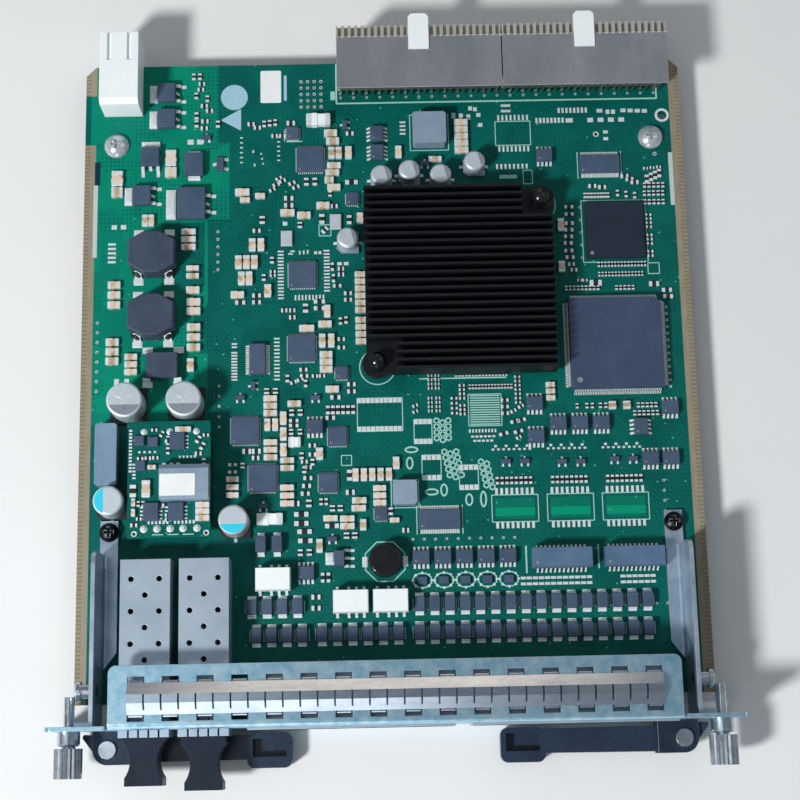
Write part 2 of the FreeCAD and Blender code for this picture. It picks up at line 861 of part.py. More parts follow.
def lever(side):
    """Ejector lever: claw, hub, arm and a hollow finger grip."""
    hub = (pivot_x, -lever_pivot_reach)
    claw = math.radians(lever_claw_angle)
    tip = (hub[0] + lever_claw_length * math.cos(claw), hub[1] + lever_claw_length * math.sin(claw))
    arm_end = (hub[0] - lever_arm_length, hub[1])
    grip_far = arm_end[0] + lever_grip_overlap - lever_grip_length
    grip_front = hub[1] - lever_grip_width / 2 - lever_grip_offset
    grip = span(grip_far, grip_far + lever_grip_length, grip_front, grip_front + lever_grip_width,
                lever_bottom, lever_top)
    grip = grip.makeFillet(lever_grip_corner, upright_edges(grip, lambda p: True))
    body = bar(hub, lever_hub_radius, tip, lever_claw_radius, lever_bottom, lever_height)
    arm = bar(hub, lever_hub_radius, arm_end, lever_arm_radius, lever_bottom, lever_height)
    body = body.fuse([arm, grip]).removeSplitter()
    w = lever_grip_wall
    pocket = span(grip_far + w, grip_far + lever_grip_length - w,
                  grip_front + 2 * w, grip_front + lever_grip_width - w,
                  lever_bottom + lever_grip_floor, lever_top + lever_height)
    bore = post(hub[0], hub[1], lever_bottom, pin_diameter / 2 + pin_running_gap, lever_height)
    body = body.cut([pocket, bore])
    return body if side > 0 else mirrored(body)


def lever_bracket(side):
    """Clevis on the panel's face that carries a lever's pin."""
    hub_y = -lever_pivot_reach
    r = bracket_hub_radius
    inner = pivot_x - bracket_length
    outline = [
        Part.LineSegment(V(inner, 0, 0), V(inner, hub_y - r, 0)).toShape(),
        Part.LineSegment(V(inner, hub_y - r, 0), V(pivot_x, hub_y - r, 0)).toShape(),
        Part.Arc(V(pivot_x, hub_y - r, 0), V(pivot_x + r * math.sqrt(0.5), hub_y - r * math.sqrt(0.5), 0),
                 V(pivot_x + r, hub_y, 0)).toShape(),
        Part.LineSegment(V(pivot_x + r, hub_y, 0), V(pivot_x + r, 0, 0)).toShape(),
        Part.LineSegment(V(pivot_x + r, 0, 0), V(inner, 0, 0)).toShape(),
    ]
    cheek = Part.Face(Part.Wire(outline)).extrude(V(0, 0, bracket_sheet))
    web = span(inner, inner + bracket_web_length, -bracket_sheet, 0, bracket_bottom, bracket_top)
    bracket = web.fuse([moved(cheek, 0, 0, bracket_bottom), moved(cheek, 0, 0, bracket_top - bracket_sheet)])
    bore = post(pivot_x, hub_y, bracket_bottom, pin_diameter / 2, bracket_top - bracket_bottom)
    bracket = bracket.removeSplitter().cut(bore)
    return bracket if side > 0 else mirrored(bracket)


def lever_pins():
    """Headed pins through the brackets."""
    radius = pin_diameter / 2
    head = pin_head_diameter / 2
    profile = [(0, bracket_bottom), (radius, bracket_bottom), (radius, bracket_top), (head, bracket_top),
               (head, bracket_top + pin_head_height), (0, bracket_top + pin_head_height)]
    pin = moved(turned(profile), pivot_x, -lever_pivot_reach, 0)
    return Part.makeCompound([mirrored(pin), pin])


def module_cage(x):
    """Folded cage, open in front, with pierced top, slit front edge and an open floor at the back."""
    w = cage_wall
    half = cage_width / 2
    low = board_top
    high = board_top + cage_height
    cage = span(x - half, x + half, -cage_reach, cage_back, low, high)
    hollow = span(x - half + w, x + half - w, -2 * cage_reach, cage_back - w, low + w, high - w)
    socket_front = cage_back - socket_back_gap - socket_length
    floor = span(x - half + w, x + half - w, socket_front - socket_back_gap, cage_back - w,
                 low - w, low + 2 * w)
    cuts = [hollow, floor]
    for row in range(cage_hole_rows):
        y = cage_back - cage_hole_back_inset - cage_hole_pitch * row
        for offset in ((-cage_hole_offset, cage_hole_offset) if row % 2 == 0 else (0,)):
            cuts.append(post(x + offset, y, high - 2 * w, cage_hole_diameter / 2, 3 * w))
    for index in range(cage_slits):
        slit_x = x - half + cage_width * (index + 1) / (cage_slits + 1)
        cuts.append(span(slit_x - cage_slit / 2, slit_x + cage_slit / 2, -2 * cage_reach,
                         cage_slit_length - cage_reach, high - 2 * w, high + w))
    return cage.cut(cuts)


def cage_socket(x):
    """Contact socket at the cage's inner end, slotted for a module's edge."""
    back = cage_back - socket_back_gap
    front = back - socket_length
    half = socket_width / 2
    top = board_top + socket_height
    lead = socket_lead
    section = [(front + lead, board_top), (back, board_top), (back, top - lead), (back - lead, top),
               (front, top), (front, board_top + lead)]
    body = run(section, x - half, socket_width)
    slot_z = board_top + socket_height / 2
    slot = span(x - socket_slot_width / 2, x + socket_slot_width / 2, front - socket_slot_depth,
                front + socket_slot_depth, slot_z - socket_slot_height / 2, slot_z + socket_slot_height / 2)
    return body.cut(slot)


def dust_plug(x, slack):
    """Moulded plug: hollow stub in the cage and a waisted grip in front."""
    c = plug_clearance
    half = cage_width / 2 - cage_wall - c
    low = board_top + cage_wall + c
    high = board_top + cage_height - cage_wall - c
    face = -cage_reach - c
    end = face - plug_grip_length
    waist = face - plug_waist_reach
    shoulder = half + plug_shoulder
    stub = span(x - half, x + half, face, face + plug_stub_length, low, high)
    pocket_wall = plug_pocket_wall
    pocket = span(x - half + pocket_wall, x + half - pocket_wall, face + plug_stub_length - plug_pocket_depth,
                  face + plug_stub_length + pocket_wall, low + pocket_wall, high - pocket_wall)

    def side_curve(sign):
        start = V(x + sign * shoulder, face, low)
        narrow = V(x + sign * plug_waist_width / 2, waist, low)
        flare = V(x + sign * plug_end_width / 2, end + plug_end_length, low)
        return Part.Arc(start, narrow, flare).toShape()

    right = side_curve(1)
    left = side_curve(-1)
    outline = [
        right,
        Part.LineSegment(V(x + plug_end_width / 2, end + plug_end_length, low),
                         V(x + plug_end_width / 2, end, low)).toShape(),
        Part.LineSegment(V(x + plug_end_width / 2, end, low), V(x - plug_end_width / 2, end, low)).toShape(),
        Part.LineSegment(V(x - plug_end_width / 2, end, low),
                         V(x - plug_end_width / 2, end + plug_end_length, low)).toShape(),
        left,
        Part.LineSegment(V(x - shoulder, face, low), V(x + shoulder, face, low)).toShape(),
    ]
    grip = Part.Face(Part.Wire(Part.__sortEdges__(outline))).extrude(V(0, 0, high - low))
    plug = stub.cut(pocket).fuse(grip).removeSplitter()
    return moved(plug, 0, -slack, 0)


def jack_shell_piece(x):
    """Shield over a ganged jack block, open in front and below."""
    t = jack_shell
    shell = span(x, x + jack_width, -jack_reach, jack_depth - jack_reach, board_top, board_top + jack_height)
    inside = span(x + t, x + jack_width - t, -2 * jack_reach, jack_depth - jack_reach - t,
                  board_top - t, board_top + jack_height - t)
    return shell.cut(inside)


def jack_insert(x):
    """Moulded insert with a row of ports, each with its latch notch."""
    t = jack_shell
    insert = span(x + t, x + jack_width - t, -jack_reach, jack_depth - jack_reach - t,
                  board_top, board_top + jack_height - t)
    cuts = []
    for index in range(jack_ports):
        port_x = x + jack_side + jack_port_pitch * (index + 0.5)
        floor = board_top + port_floor
        cuts.append(span(port_x - port_width / 2, port_x + port_width / 2, -2 * jack_reach,
                         port_depth - jack_reach, floor, floor + port_height))
        cuts.append(span(port_x - latch_width / 2, port_x + latch_width / 2, -2 * jack_reach,
                         port_depth - jack_reach, floor - latch_height, floor + latch_height))
    return insert.cut(cuts)


def push_pin_places():
    """Two opposite corners of the heat sink."""
    return [(sink_x + side * sink_pin_reach, sink_y + side * sink_pin_reach) for side in (-1, 1)]


def heat_sink():
    """Extruded heat sink: base with pin lobes, and fins cut away round the pins."""
    half = sink_width / 2
    left = sink_x - half
    top = sink_bottom + sink_height
    base_top = sink_bottom + sink_base
    pitch = (sink_width - sink_fin_thickness) / (sink_fins - 1)
    front = sink_y - half
    base = span(left, left + sink_width, front, front + sink_width, sink_bottom, base_top)
    fins = [span(left, left + sink_width, front + pitch * index, front + pitch * index + sink_fin_thickness,
                 base_top, top) for index in range(sink_fins)]
    sink = base.fuse(fins)
    cuts = []
    lobes = []
    for x, y in push_pin_places():
        corner_x = left if x < sink_x else left + sink_width - sink_pin_clear
        corner_y = front if y < sink_y else front + sink_width - sink_pin_clear
        cuts.append(span(corner_x, corner_x + sink_pin_clear, corner_y, corner_y + sink_pin_clear,
                         base_top, top + sink_base))
        lobes.append(post(x, y, sink_bottom, sink_lobe_radius, sink_base))
    sink = sink.cut(cuts).fuse(lobes).removeSplitter()
    holes = [post(x, y, sink_bottom, push_pin_diameter / 2 + push_pin_clearance, sink_base)
             for x, y in push_pin_places()]
    return sink.cut(holes)


def push_pins():
    """Push pins from the heat sink's lobes through the board, barbed below."""
    radius = push_pin_diameter / 2
    head = push_pin_head_diameter / 2
    seat = sink_bottom + sink_base
    low = board_bottom - push_pin_tail
    barb = radius + push_pin_clearance + push_pin_barb
    profile = [(0, low), (push_pin_point, low), (barb, board_bottom - push_pin_clearance),
               (radius, board_bottom - push_pin_clearance), (radius, seat), (head, seat),
               (head, seat + push_pin_head_edge)]
    pin = domed(profile, push_pin_head_crown)
    return Part.makeCompound([moved(pin, x, y, 0) for x, y in push_pin_places()])


def processor():
    """Processor under the heat sink."""
    return block(sink_x, sink_y, board_top, processor_width, processor_width, processor_height)


def thermal_pad():
    """Soft pad between processor and heat sink."""
    return block(sink_x, sink_y, board_top + processor_height, pad_width, pad_width, pad_thickness)


def plane_places():
    """Middles of the two backplane connectors."""
    step = plane_module_width + plane_module_gap
    middle = spot(plane_centre_x, 0)[0]
    return [middle - step / 2, middle + step / 2]


def plane_housing(x):
    """Moulded housing with a castellated mating edge."""
    half = plane_module_width / 2
    front = plane_back - plane_length + plane_shield_overhang
    top = board_top + plane_height
    under = board_top
    section = [(front, under), (board_back, under), (board_back, board_bottom), (plane_back, board_bottom),
               (plane_back, top), (front, top)]
    housing = run(section, x - half, plane_module_width)
    cuts = []
    first = x - (plane_columns - 1) * plane_column_pitch / 2
    for index in range(plane_columns):
        notch_x = first + plane_column_pitch * index
        cuts.append(span(notch_x - plane_notch_width / 2, notch_x + plane_notch_width / 2,
                         plane_back - plane_notch_length, plane_back + plane_notch_length,
                         top - plane_notch_depth, top + plane_notch_depth))
    cuts.append(span(x - key_width / 2, x + key_width / 2, plane_back + key_reach - key_length,
                     plane_back + key_length, top - key_height / 2, top + key_height))
    return housing.cut(cuts)


def plane_shield(x):
    """Sheet cover over the connector's top and tails, cut out for the key."""
    half = plane_module_width / 2
    front = plane_back - plane_length
    top = board_top + plane_height
    cover = span(x - half, x + half, front, plane_back - shield_back_inset, top, top + shield_sheet)
    key_room = span(x - key_width / 2, x + key_width / 2, plane_back + key_reach - key_length,
                    plane_back + key_length, top - shield_sheet, top + 2 * shield_sheet)
    return cover.cut(key_room)


def plane_tails(x):
    """Row of bent contact blades between the housing and the board."""
    back = plane_back - plane_length + plane_shield_overhang
    front = back - plane_tail_reach
    shoulder = board_top + plane_height - plane_tail_drop
    section = [(front, board_top), (back, board_top), (back, shoulder), (front, shoulder - plane_tail_reach)]
    first = x - (plane_columns - 1) * plane_column_pitch / 2
    blades = [run(section, first + plane_column_pitch * index - plane_tail_width / 2, plane_tail_width)
              for index in range(plane_columns)]
    return blades


def coding_keys():
    """Keys clipped into the housings, with tapered noses past the mating face."""
    low = board_top + plane_height - key_height / 2
    keys = []
    for x in plane_places():
        half = key_width / 2
        end = plane_back + key_reach
        start = end - key_length
        outline = [(x - half, start), (x + half, start), (x + half, end - key_lead),
                   (x + half - key_lead, end), (x - half + key_lead, end), (x - half, end - key_lead)]
        keys.append(plate(outline, low, key_height))
    return Part.makeCompound(keys)


def power_connector():
    """White power plug: sloped front, grooved top and a cavity in its mating face."""
    x = power_edge_inset + power_width / 2 - board_width / 2
    half = power_width / 2
    back = board_back + power_overhang
    front = back - power_length
    top = board_top + power_height
    section = [(front, board_top), (board_back, board_top), (board_back, board_bottom), (back, board_bottom),
               (back, top), (front + power_front_slope, top), (front, top - power_front_slope)]
    body = run(section, x - half, power_width)
    middle = (board_top + top) / 2
    cuts = [span(x - power_cavity_width / 2, x + power_cavity_width / 2,
                 back - power_cavity_depth, back + power_cavity_depth,
                 middle - power_cavity_height / 2, middle + power_cavity_height / 2)]
    for offset in (-power_groove_offset, power_groove_offset):
        cuts.append(span(x + offset - power_groove_width / 2, x + offset + power_groove_width / 2,
                         back - power_groove_length, back + power_groove_length,
                         top - power_groove_depth, top + power_groove_depth))
    return body.cut(cuts)


def quad_chip():
    """Large square package with a cut corner."""
    x = sink_right + quad_chip_sink_gap + quad_chip_width / 2
    y = spot(0, quad_chip_y)[1]
    body = moulded(x, y, quad_chip_width, quad_chip_width, quad_chip_height)
    half = quad_chip_width / 2
    cut = quad_chip_corner
    corner = plate([(x + half - 2 * cut, y + half + cut), (x + half + cut, y + half - 2 * cut),
                    (x + half + cut, y + half + cut)], board_top, 2 * quad_chip_height)
    return body.cut(corner)


def memory_chip():
    """Square memory package behind the large one."""
    return moulded(*spot(*memory_place), memory_chip_width, memory_chip_width, memory_chip_height)


def flash_chips():
    """Long flat packages."""
    return Part.makeCompound(chips(flash_places, flash_length, flash_width, flash_height))


def rail_edge():
    """Inner edge of the right rail's flange."""
    return rail_outer - rail_flange_width


def choke_row():
    """Middles of the array chips and line transformers between the round choke and the right rail."""
    start = spot(*round_choke_place)[0] + round_choke_diameter / 2
    lengths = [outline_length] * array_count + [line_transformer_length] * 2
    gaps = [array_choke_gap] + [array_gap] * (array_count - 1) + list(line_transformer_gaps)
    return in_line(start, rail_edge(), lengths, gaps)


def supply_row():
    """Places along Y of a small capacitor and two chips between the heat sink and the connector."""
    can = small_can_diameter + 2 * can_base_margin
    return in_line(sink_back, plane_back - plane_length, [can, outline_length, outline_length], supply_gaps)


def diode_front_row():
    """Middles of the front row of diodes, in three groups."""
    ends = diode_front_gaps
    counts = (diode_left_count, diode_middle_count, diode_right_count)
    gaps = []
    for end, count in zip(ends, counts):
        gaps += [end] + [diode_gap] * (count - 1)
    return in_line(cage_right, rail_edge(), [diode_width] * sum(counts), gaps + [ends[-1]])


def diode_back_row():
    """Middles of the back row: diodes, two relays and diodes."""
    ends = diode_back_gaps
    lengths = [diode_width] * diode_left_count + [relay_length] * 2 + [diode_width] * diode_right_count
    gaps = [ends[0]] + [diode_gap] * (diode_left_count - 1) + list(ends[1:4])
    gaps += [diode_gap] * (diode_right_count - 1) + [ends[4]]
    return in_line(cage_right, rail_edge(), lengths, gaps)


def outline_chips():
    """Small outline packages with leads on two sides."""
    bodies = chips(outline_places, outline_length, outline_width, outline_height)
    bodies += chips([outline_turned_place], outline_width, outline_length, outline_height)
    bodies += chips([driver_place], driver_width, driver_length, outline_height)
    for x in choke_row()[:array_count]:
        bodies.append(moulded(x, array_y, outline_length, outline_width, outline_height))
    for y in supply_row()[1:]:
        bodies.append(moulded(spot(supply_chip_x, 0)[0], y, outline_width, outline_length, outline_height))
    return Part.makeCompound(bodies)


def leadless_chips():
    """Flat square packages without leads, in three sizes."""
    bodies = []
    for places, width in [(leadless_wide_places, leadless_wide), (leadless_middle_places, leadless_middle),
                          (leadless_small_places, leadless_small)]:
        bodies += chips(places, width, width, leadless_height)
    return Part.makeCompound(bodies)


def crystals():
    """Metal-lidded crystals."""
    return Part.makeCompound(chips(crystal_places, crystal_width, crystal_length, leadless_height))


def power_transistors():
    """Power packages, a large diode and the clamps."""
    bodies = chips(transistor_places, transistor_width, transistor_length, transistor_height)
    bodies += chips([wide_transistor_place], wide_transistor_width, wide_transistor_length, transistor_height)
    bodies += chips([power_diode_place], power_diode_width, power_diode_length, transistor_height)
    bodies += chips(clamp_places, clamp_width, clamp_length, transistor_height)
    return Part.makeCompound(bodies)


def line_diodes():
    """Rows of protection diodes behind the jacks."""
    back = diode_back_row()
    back = back[:diode_left_count] + back[diode_left_count + 2:]
    bodies = []
    for middles, y in [(diode_front_row(), diode_front_y), (back, diode_back_y)]:
        for x in middles:
            bodies.append(moulded(x, y, diode_width, diode_length, diode_height))
    return Part.makeCompound(bodies)


def line_transformers():
    """Long moulded transformers for the data lines."""
    bodies = []
    for x in choke_row()[array_count:]:
        bodies.append(moulded(x, line_transformer_y, line_transformer_length, line_transformer_width,
                              line_transformer_height))
    return Part.makeCompound(bodies)


def relays():
    """White signal relays."""
    bodies = chips([relay_place], relay_length, relay_width, relay_height)
    for x in diode_back_row()[diode_left_count:diode_left_count + 2]:
        bodies.append(moulded(x, relay_row_y, relay_length, relay_width, relay_height))
    return Part.makeCompound(bodies)


def round_choke():
    """Wound drum core: flanges above and below a waist."""
    x, y = spot(*round_choke_place)
    rim = round_choke_diameter / 2
    waist = round_choke_waist / 2
    edge = round_choke_flange
    high = round_choke_height
    profile = [(0, 0), (rim, 0), (rim, edge), (waist, edge), (waist, high - edge), (rim, high - edge),
               (rim, high), (0, high)]
    return moved(turned(profile), x, y, board_top)


def power_chokes():
    """Black chokes of the power supply: two with cut corners and a plain one."""
    bodies = []
    half_length = power_choke_length / 2
    half_width = power_choke_width / 2
    short_length = half_length - power_choke_corner_length
    short_width = half_width - power_choke_corner_width
    for x, y in power_choke_places:
        px, py = spot(x, y)
        outline = [(px - short_length, py - half_width), (px + short_length, py - half_width),
                   (px + half_length, py - short_width), (px + half_length, py + short_width),
                   (px + short_length, py + half_width), (px - short_length, py + half_width),
                   (px - half_length, py + short_width), (px - half_length, py - short_width)]
        core = plate(outline, board_top, power_choke_height)
        rim = [e for e in core.Edges if e.BoundBox.ZMin > board_top + power_choke_height - hair]
        bodies.append(core.makeChamfer(power_choke_edge, rim))
    bodies += chips([block_choke_place], block_choke_length, block_choke_width, small_choke_height)
    return Part.makeCompound(bodies)


def shielded_chokes():
    """Grey chokes in square shields with rounded upright edges."""
    bodies = []
    for place, width, height in [(shielded_choke_place, shielded_choke_width, shielded_choke_height),
                                 (small_choke_place, small_choke_width, small_choke_height)]:
        px, py = spot(*place)
        shield = block(px, py, board_top, width, width, height)
        bodies.append(shield.makeChamfer(choke_edge, upright_edges(shield, lambda p: True)))
    return Part.makeCompound(bodies)


def can_places(kind):
    """Places of the capacitors of one kind."""
    if kind == "large":
        return [spot(*place) for place in large_can_places]
    if kind == "polymer":
        return [spot(*place) for place in polymer_can_places]
    row = [(spot(x, 0)[0], supply_row()[0] + step) for x, step in small_can_row]
    return row + [(sink_x - sink_width / 2 - can_sink_gap - small_can_diameter / 2, spot(0, single_can_y)[1])]


def can_kinds():
    """Diameter and height of each kind of capacitor."""
    return {"large": (large_can_diameter, large_can_height),
            "polymer": (polymer_can_diameter, polymer_can_height),
            "small": (small_can_diameter, small_can_height)}


def capacitor_cans(kind):
    """Drawn cans that stand on their bases."""
    diameter, height = can_kinds()[kind]
    radius = diameter / 2
    profile = [(0, can_base_height), (radius, can_base_height), (radius, height - can_edge),
               (radius - can_edge, height), (0, height)]
    can = turned(profile)
    return Part.makeCompound([moved(can, x, y, board_top) for x, y in can_places(kind)])


def capacitor_bases():
    """Square moulded bases with two cut corners."""
    bodies = []
    for kind in can_kinds():
        half = can_kinds()[kind][0] / 2 + can_base_margin
        cut = can_base_corner
        for x, y in can_places(kind):
            outline = [(x - half, y - half + cut), (x - half + cut, y - half), (x + half, y - half),
                       (x + half, y + half), (x - half + cut, y + half), (x - half, y + half - cut)]
            bodies.append(plate(outline, board_top, can_base_height))
    return Part.makeCompound(bodies)


def converter_place():
    """Middle of the converter board."""
    return spot(*converter_middle)


def converter_board():
    """Small board that stands on two headers."""
    x, y = converter_place()
    return block(x, y, converter_bottom, converter_width, converter_depth, converter_sheet)


def converter_headers():
    """Pin headers under the converter board's long edges."""
    x, y = converter_place()
    offset = converter_width / 2 - header_width / 2
    strips = [block(x + side * offset, y, board_top, header_width, header_length, converter_lift)
              for side in (-1, 1)]
    return Part.makeCompound(strips)


def converter_transformer():
    """Cored transformer on the converter board, its ends stepped down round the core."""
    x, y = converter_place()
    right = x + converter_width / 2
    left = right - converter_block_length
    step = converter_block_step
    front = y - converter_block_shift - converter_block_width / 2
    section = [(front, converter_top), (front + converter_block_width, converter_top),
               (front + converter_block_width, converter_top + converter_block_height - step),
               (front + converter_block_width - step, converter_top + converter_block_height),
               (front + step, converter_top + converter_block_height),
               (front, converter_top + converter_block_height - step)]
    return run(section, left, converter_block_length)


def converter_chips():
    """Packages on the converter board."""
    x, y = converter_place()
    bodies = []
    for places, length, width in [(converter_wide_places, converter_chip_width, converter_chip_length),
                                  (converter_small_places, converter_chip_small, converter_chip_small)]:
        for dx, dy in places:
            bodies.append(moulded(x + dx, y + dy, length, width, leadless_height, converter_top))
    return Part.makeCompound(bodies)


def power_module():
    """Long grey module at the board's left edge."""
    x, y = spot(*power_module_place)
    body = block(x, y, board_top, module_width, module_length, module_height)
    return body.makeChamfer(choke_edge, upright_edges(body, lambda p: True))


def sides(maker):
    """Left and right copies of a piece."""
    return {"left": maker(-1), "right": maker(1)}


def pieces():
    """Every piece of the board by name."""
    found = {
        "circuit_board": circuit_board(),
        "front_panel": front_panel(),
        "spring_strip": spring_strip(),
        "rail_screws": rail_screws(),
        "side_studs": side_studs(),
        "dome_screws": dome_screws(),
        "dome_nuts": dome_nuts(),
        "thumb_collars": thumb_collars(),
        "lever_pins": lever_pins(),
        "heat_sink": heat_sink(),
        "push_pins": push_pins(),
        "processor": processor(),
        "thermal_pad": thermal_pad(),
        "cage_sockets": Part.makeCompound([cage_socket(x) for x in cage_places()]),
        "coding_keys": coding_keys(),
        "plane_tails": Part.makeCompound([blade for x in plane_places() for blade in plane_tails(x)]),
        "power_connector": power_connector(),
        "quad_chip": quad_chip(),
        "memory_chip": memory_chip(),
        "flash_chips": flash_chips(),
        "outline_chips": outline_chips(),
        "leadless_chips": leadless_chips(),
        "crystals": crystals(),
        "power_transistors": power_transistors(),
        "line_diodes": line_diodes(),
        "line_transformers": line_transformers(),
        "relays": relays(),
        "round_choke": round_choke(),
        "power_chokes": power_chokes(),
        "shielded_chokes": shielded_chokes(),
        "large_capacitors": capacitor_cans("large"),
        "polymer_capacitors": capacitor_cans("polymer"),
        "small_capacitors": capacitor_cans("small"),
        "capacitor_bases": capacitor_bases(),
        "converter_board": converter_board(),
        "converter_headers": converter_headers(),
        "converter_transformer": converter_transformer(),
        "converter_chips": converter_chips(),
        "power_module": power_module(),
    }
    for name, maker in [("side_rail", side_rail), ("lever", lever), ("lever_bracket", lever_bracket),
                        ("thumbscrew", thumbscrew)]:
        for side, shape in sides(maker).items():
            found[f"{name}_{side}"] = shape
    slacks = (0, plug_right_slack)
    for side, cage_x, jack_x, plane_x, slack in zip(("left", "right"), cage_places(), jack_places(),
                                                    plane_places(), slacks):
        found[f"module_cage_{side}"] = module_cage(cage_x)
        found[f"dust_plug_{side}"] = dust_plug(cage_x, slack)
        found[f"jack_shell_{side}"] = jack_shell_piece(jack_x)
        found[f"jack_insert_{side}"] = jack_insert(jack_x)
        found[f"plane_housing_{side}"] = plane_housing(plane_x)
        found[f"plane_shield_{side}"] = plane_shield(plane_x)
    return found


os.makedirs("parts", exist_ok=True)
for name, shape in pieces().items():
    shape.exportStep(f"parts/{name}.step")
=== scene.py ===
import math
from functools import partialmethod
import bmesh
import bpy
from mathutils import Matrix, Vector


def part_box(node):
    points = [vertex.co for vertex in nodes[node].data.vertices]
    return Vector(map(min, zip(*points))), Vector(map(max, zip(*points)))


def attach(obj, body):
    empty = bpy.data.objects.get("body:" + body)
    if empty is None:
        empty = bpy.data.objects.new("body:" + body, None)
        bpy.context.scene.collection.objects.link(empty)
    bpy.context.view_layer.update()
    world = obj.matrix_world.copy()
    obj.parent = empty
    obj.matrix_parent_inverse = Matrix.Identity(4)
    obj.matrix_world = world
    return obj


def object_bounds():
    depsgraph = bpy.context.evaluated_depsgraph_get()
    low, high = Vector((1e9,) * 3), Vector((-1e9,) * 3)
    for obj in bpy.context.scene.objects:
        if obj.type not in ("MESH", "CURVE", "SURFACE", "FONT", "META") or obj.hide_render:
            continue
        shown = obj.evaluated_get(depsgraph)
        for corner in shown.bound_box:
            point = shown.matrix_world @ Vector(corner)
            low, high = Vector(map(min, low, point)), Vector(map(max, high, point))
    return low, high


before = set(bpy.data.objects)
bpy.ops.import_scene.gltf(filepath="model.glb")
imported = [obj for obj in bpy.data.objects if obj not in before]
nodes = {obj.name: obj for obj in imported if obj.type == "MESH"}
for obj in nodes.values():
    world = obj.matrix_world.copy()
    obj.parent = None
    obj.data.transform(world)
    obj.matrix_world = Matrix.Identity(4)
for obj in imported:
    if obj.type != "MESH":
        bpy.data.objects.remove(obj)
cad_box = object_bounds()
for name in ("Cube", "Light", "Camera"):
    if name in bpy.data.objects:
        bpy.data.objects.remove(bpy.data.objects[name])

# Lengths below are millimetres in the frame of the solids
MM = 0.001
board_top = -5.2
board_bottom = -7.2
converter_top = 1.6
capacitor_height = 1.3
module_capacitor_height = 1.2
resistor_height = 0.6
pad_height = 0.08
hole_height = 0.07
ink_height = 0.05
label_height = 0.08
mark_height = 0.03
solder_height = 0.7


# Modelling by hand

def only(*pieces):
    """Selects these pieces and nothing else."""
    bpy.ops.object.select_all(action="DESELECT")
    for piece in pieces:
        piece.select_set(True)
    bpy.context.view_layer.objects.active = pieces[0]


def named(name):
    """The piece just added, with its place in its mesh."""
    bpy.ops.object.transform_apply(location=True, rotation=True, scale=True)
    bpy.context.object.name = name
    return bpy.context.object


def block(name, x0, x1, y0, y1, z0, z1):
    """A block between its six faces."""
    bpy.ops.object.select_all(action="DESELECT")
    middle = ((x0 + x1) / 2 * MM, (y0 + y1) / 2 * MM, (z0 + z1) / 2 * MM)
    size = ((x1 - x0) * MM, (y1 - y0) * MM, (z1 - z0) * MM)
    bpy.ops.mesh.primitive_cube_add(size=1, location=middle, scale=size)
    return named(name)


def drum(name, x, y, z, radius, height, sides):
    """An upright drum on its foot."""
    bpy.ops.object.select_all(action="DESELECT")
    bpy.ops.mesh.primitive_cylinder_add(vertices=sides, radius=radius * MM, depth=height * MM,
                                        location=(x * MM, y * MM, (z + height / 2) * MM))
    return named(name)


def pick(piece, test, kind="FACE"):
    """Selects faces or edges by their middle in millimetres and their normal or direction."""
    only(piece)
    bpy.ops.object.mode_set(mode="EDIT")
    bpy.ops.mesh.select_mode(type=kind)
    bpy.ops.mesh.select_all(action="DESELECT")
    mesh = bmesh.from_edit_mesh(piece.data)
    if kind == "FACE":
        for face in mesh.faces:
            face.select_set(bool(test(face.calc_center_median() / MM, face.normal)))
    else:
        for edge in mesh.edges:
            start, end = (corner.co for corner in edge.verts)
            edge.select_set(bool(test((start + end) / 2 / MM, (end - start).normalized())))
    bmesh.update_edit_mesh(piece.data)


def upward(middle, normal):
    """Faces that look up."""
    return normal.z > 0.9


def upright(middle, direction):
    """Edges that stand up."""
    return abs(direction.z) > 0.9


def everything(middle, direction):
    """All faces or edges."""
    return True


def push(x, y, z):
    """Extrudes what is selected by this much."""
    bpy.ops.mesh.extrude_region_move(TRANSFORM_OT_translate={"value": (x * MM, y * MM, z * MM)})


def swell(centre, x, y, z):
    """Scales what is selected about a point."""
    bpy.ops.transform.resize(value=(x, y, z), center_override=[c * MM for c in centre])


def sunk(depth, rim):
    """Insets the selected faces and moves the inner ones."""
    bpy.ops.mesh.inset(thickness=rim * MM)
    bpy.ops.transform.translate(value=(0, 0, depth * MM))


def eased(piece, offset, test=everything, segments=1):
    """Bevels the edges that pass the test."""
    pick(piece, test, "EDGE")
    bpy.ops.mesh.bevel(offset=offset * MM, segments=segments, affect="EDGES")
    bpy.ops.object.mode_set(mode="OBJECT")
    return piece


def settled(piece):
    """Leaves edit mode with doubles merged and faces outwards."""
    bpy.ops.mesh.select_all(action="SELECT")
    bpy.ops.mesh.remove_doubles(threshold=0.001 * MM)
    bpy.ops.mesh.normals_make_consistent(inside=False)
    bpy.ops.object.mode_set(mode="OBJECT")
    return piece


def finished(piece, *finishes, where=None):
    """Gives a piece its finishes, the second one where a face's middle passes the test."""
    piece.data.materials.clear()
    for finish in finishes:
        piece.data.materials.append(finish)
    for face in piece.data.polygons:
        face.material_index = 1 if where and where(face.center / MM) else 0
    return piece


def joined(name, pieces, body="board"):
    """One piece out of several, riding on a body."""
    only(*pieces)
    if len(pieces) > 1:
        bpy.ops.object.join()
    piece = bpy.context.view_layer.objects.active
    piece.name = name
    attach(piece, body)
    return piece


def at(x, y, z, wide=1.0, deep=1.0, tall=1.0, turn=0.0):
    """Place, size and turn of one copy."""
    return (Matrix.Translation((x * MM, y * MM, z * MM)) @ Matrix.Rotation(math.radians(turn), 4, "Z")
            @ Matrix.Diagonal((wide, deep, tall, 1)))


def under(x, y, wide, deep, tall, turn=0.0):
    """Place, size and turn of one copy that hangs below the board."""
    return (Matrix.Translation((x * MM, y * MM, board_bottom * MM)) @ Matrix.Rotation(math.pi, 4, "X")
            @ Matrix.Rotation(math.radians(turn), 4, "Z") @ Matrix.Diagonal((wide, deep, tall, 1)))


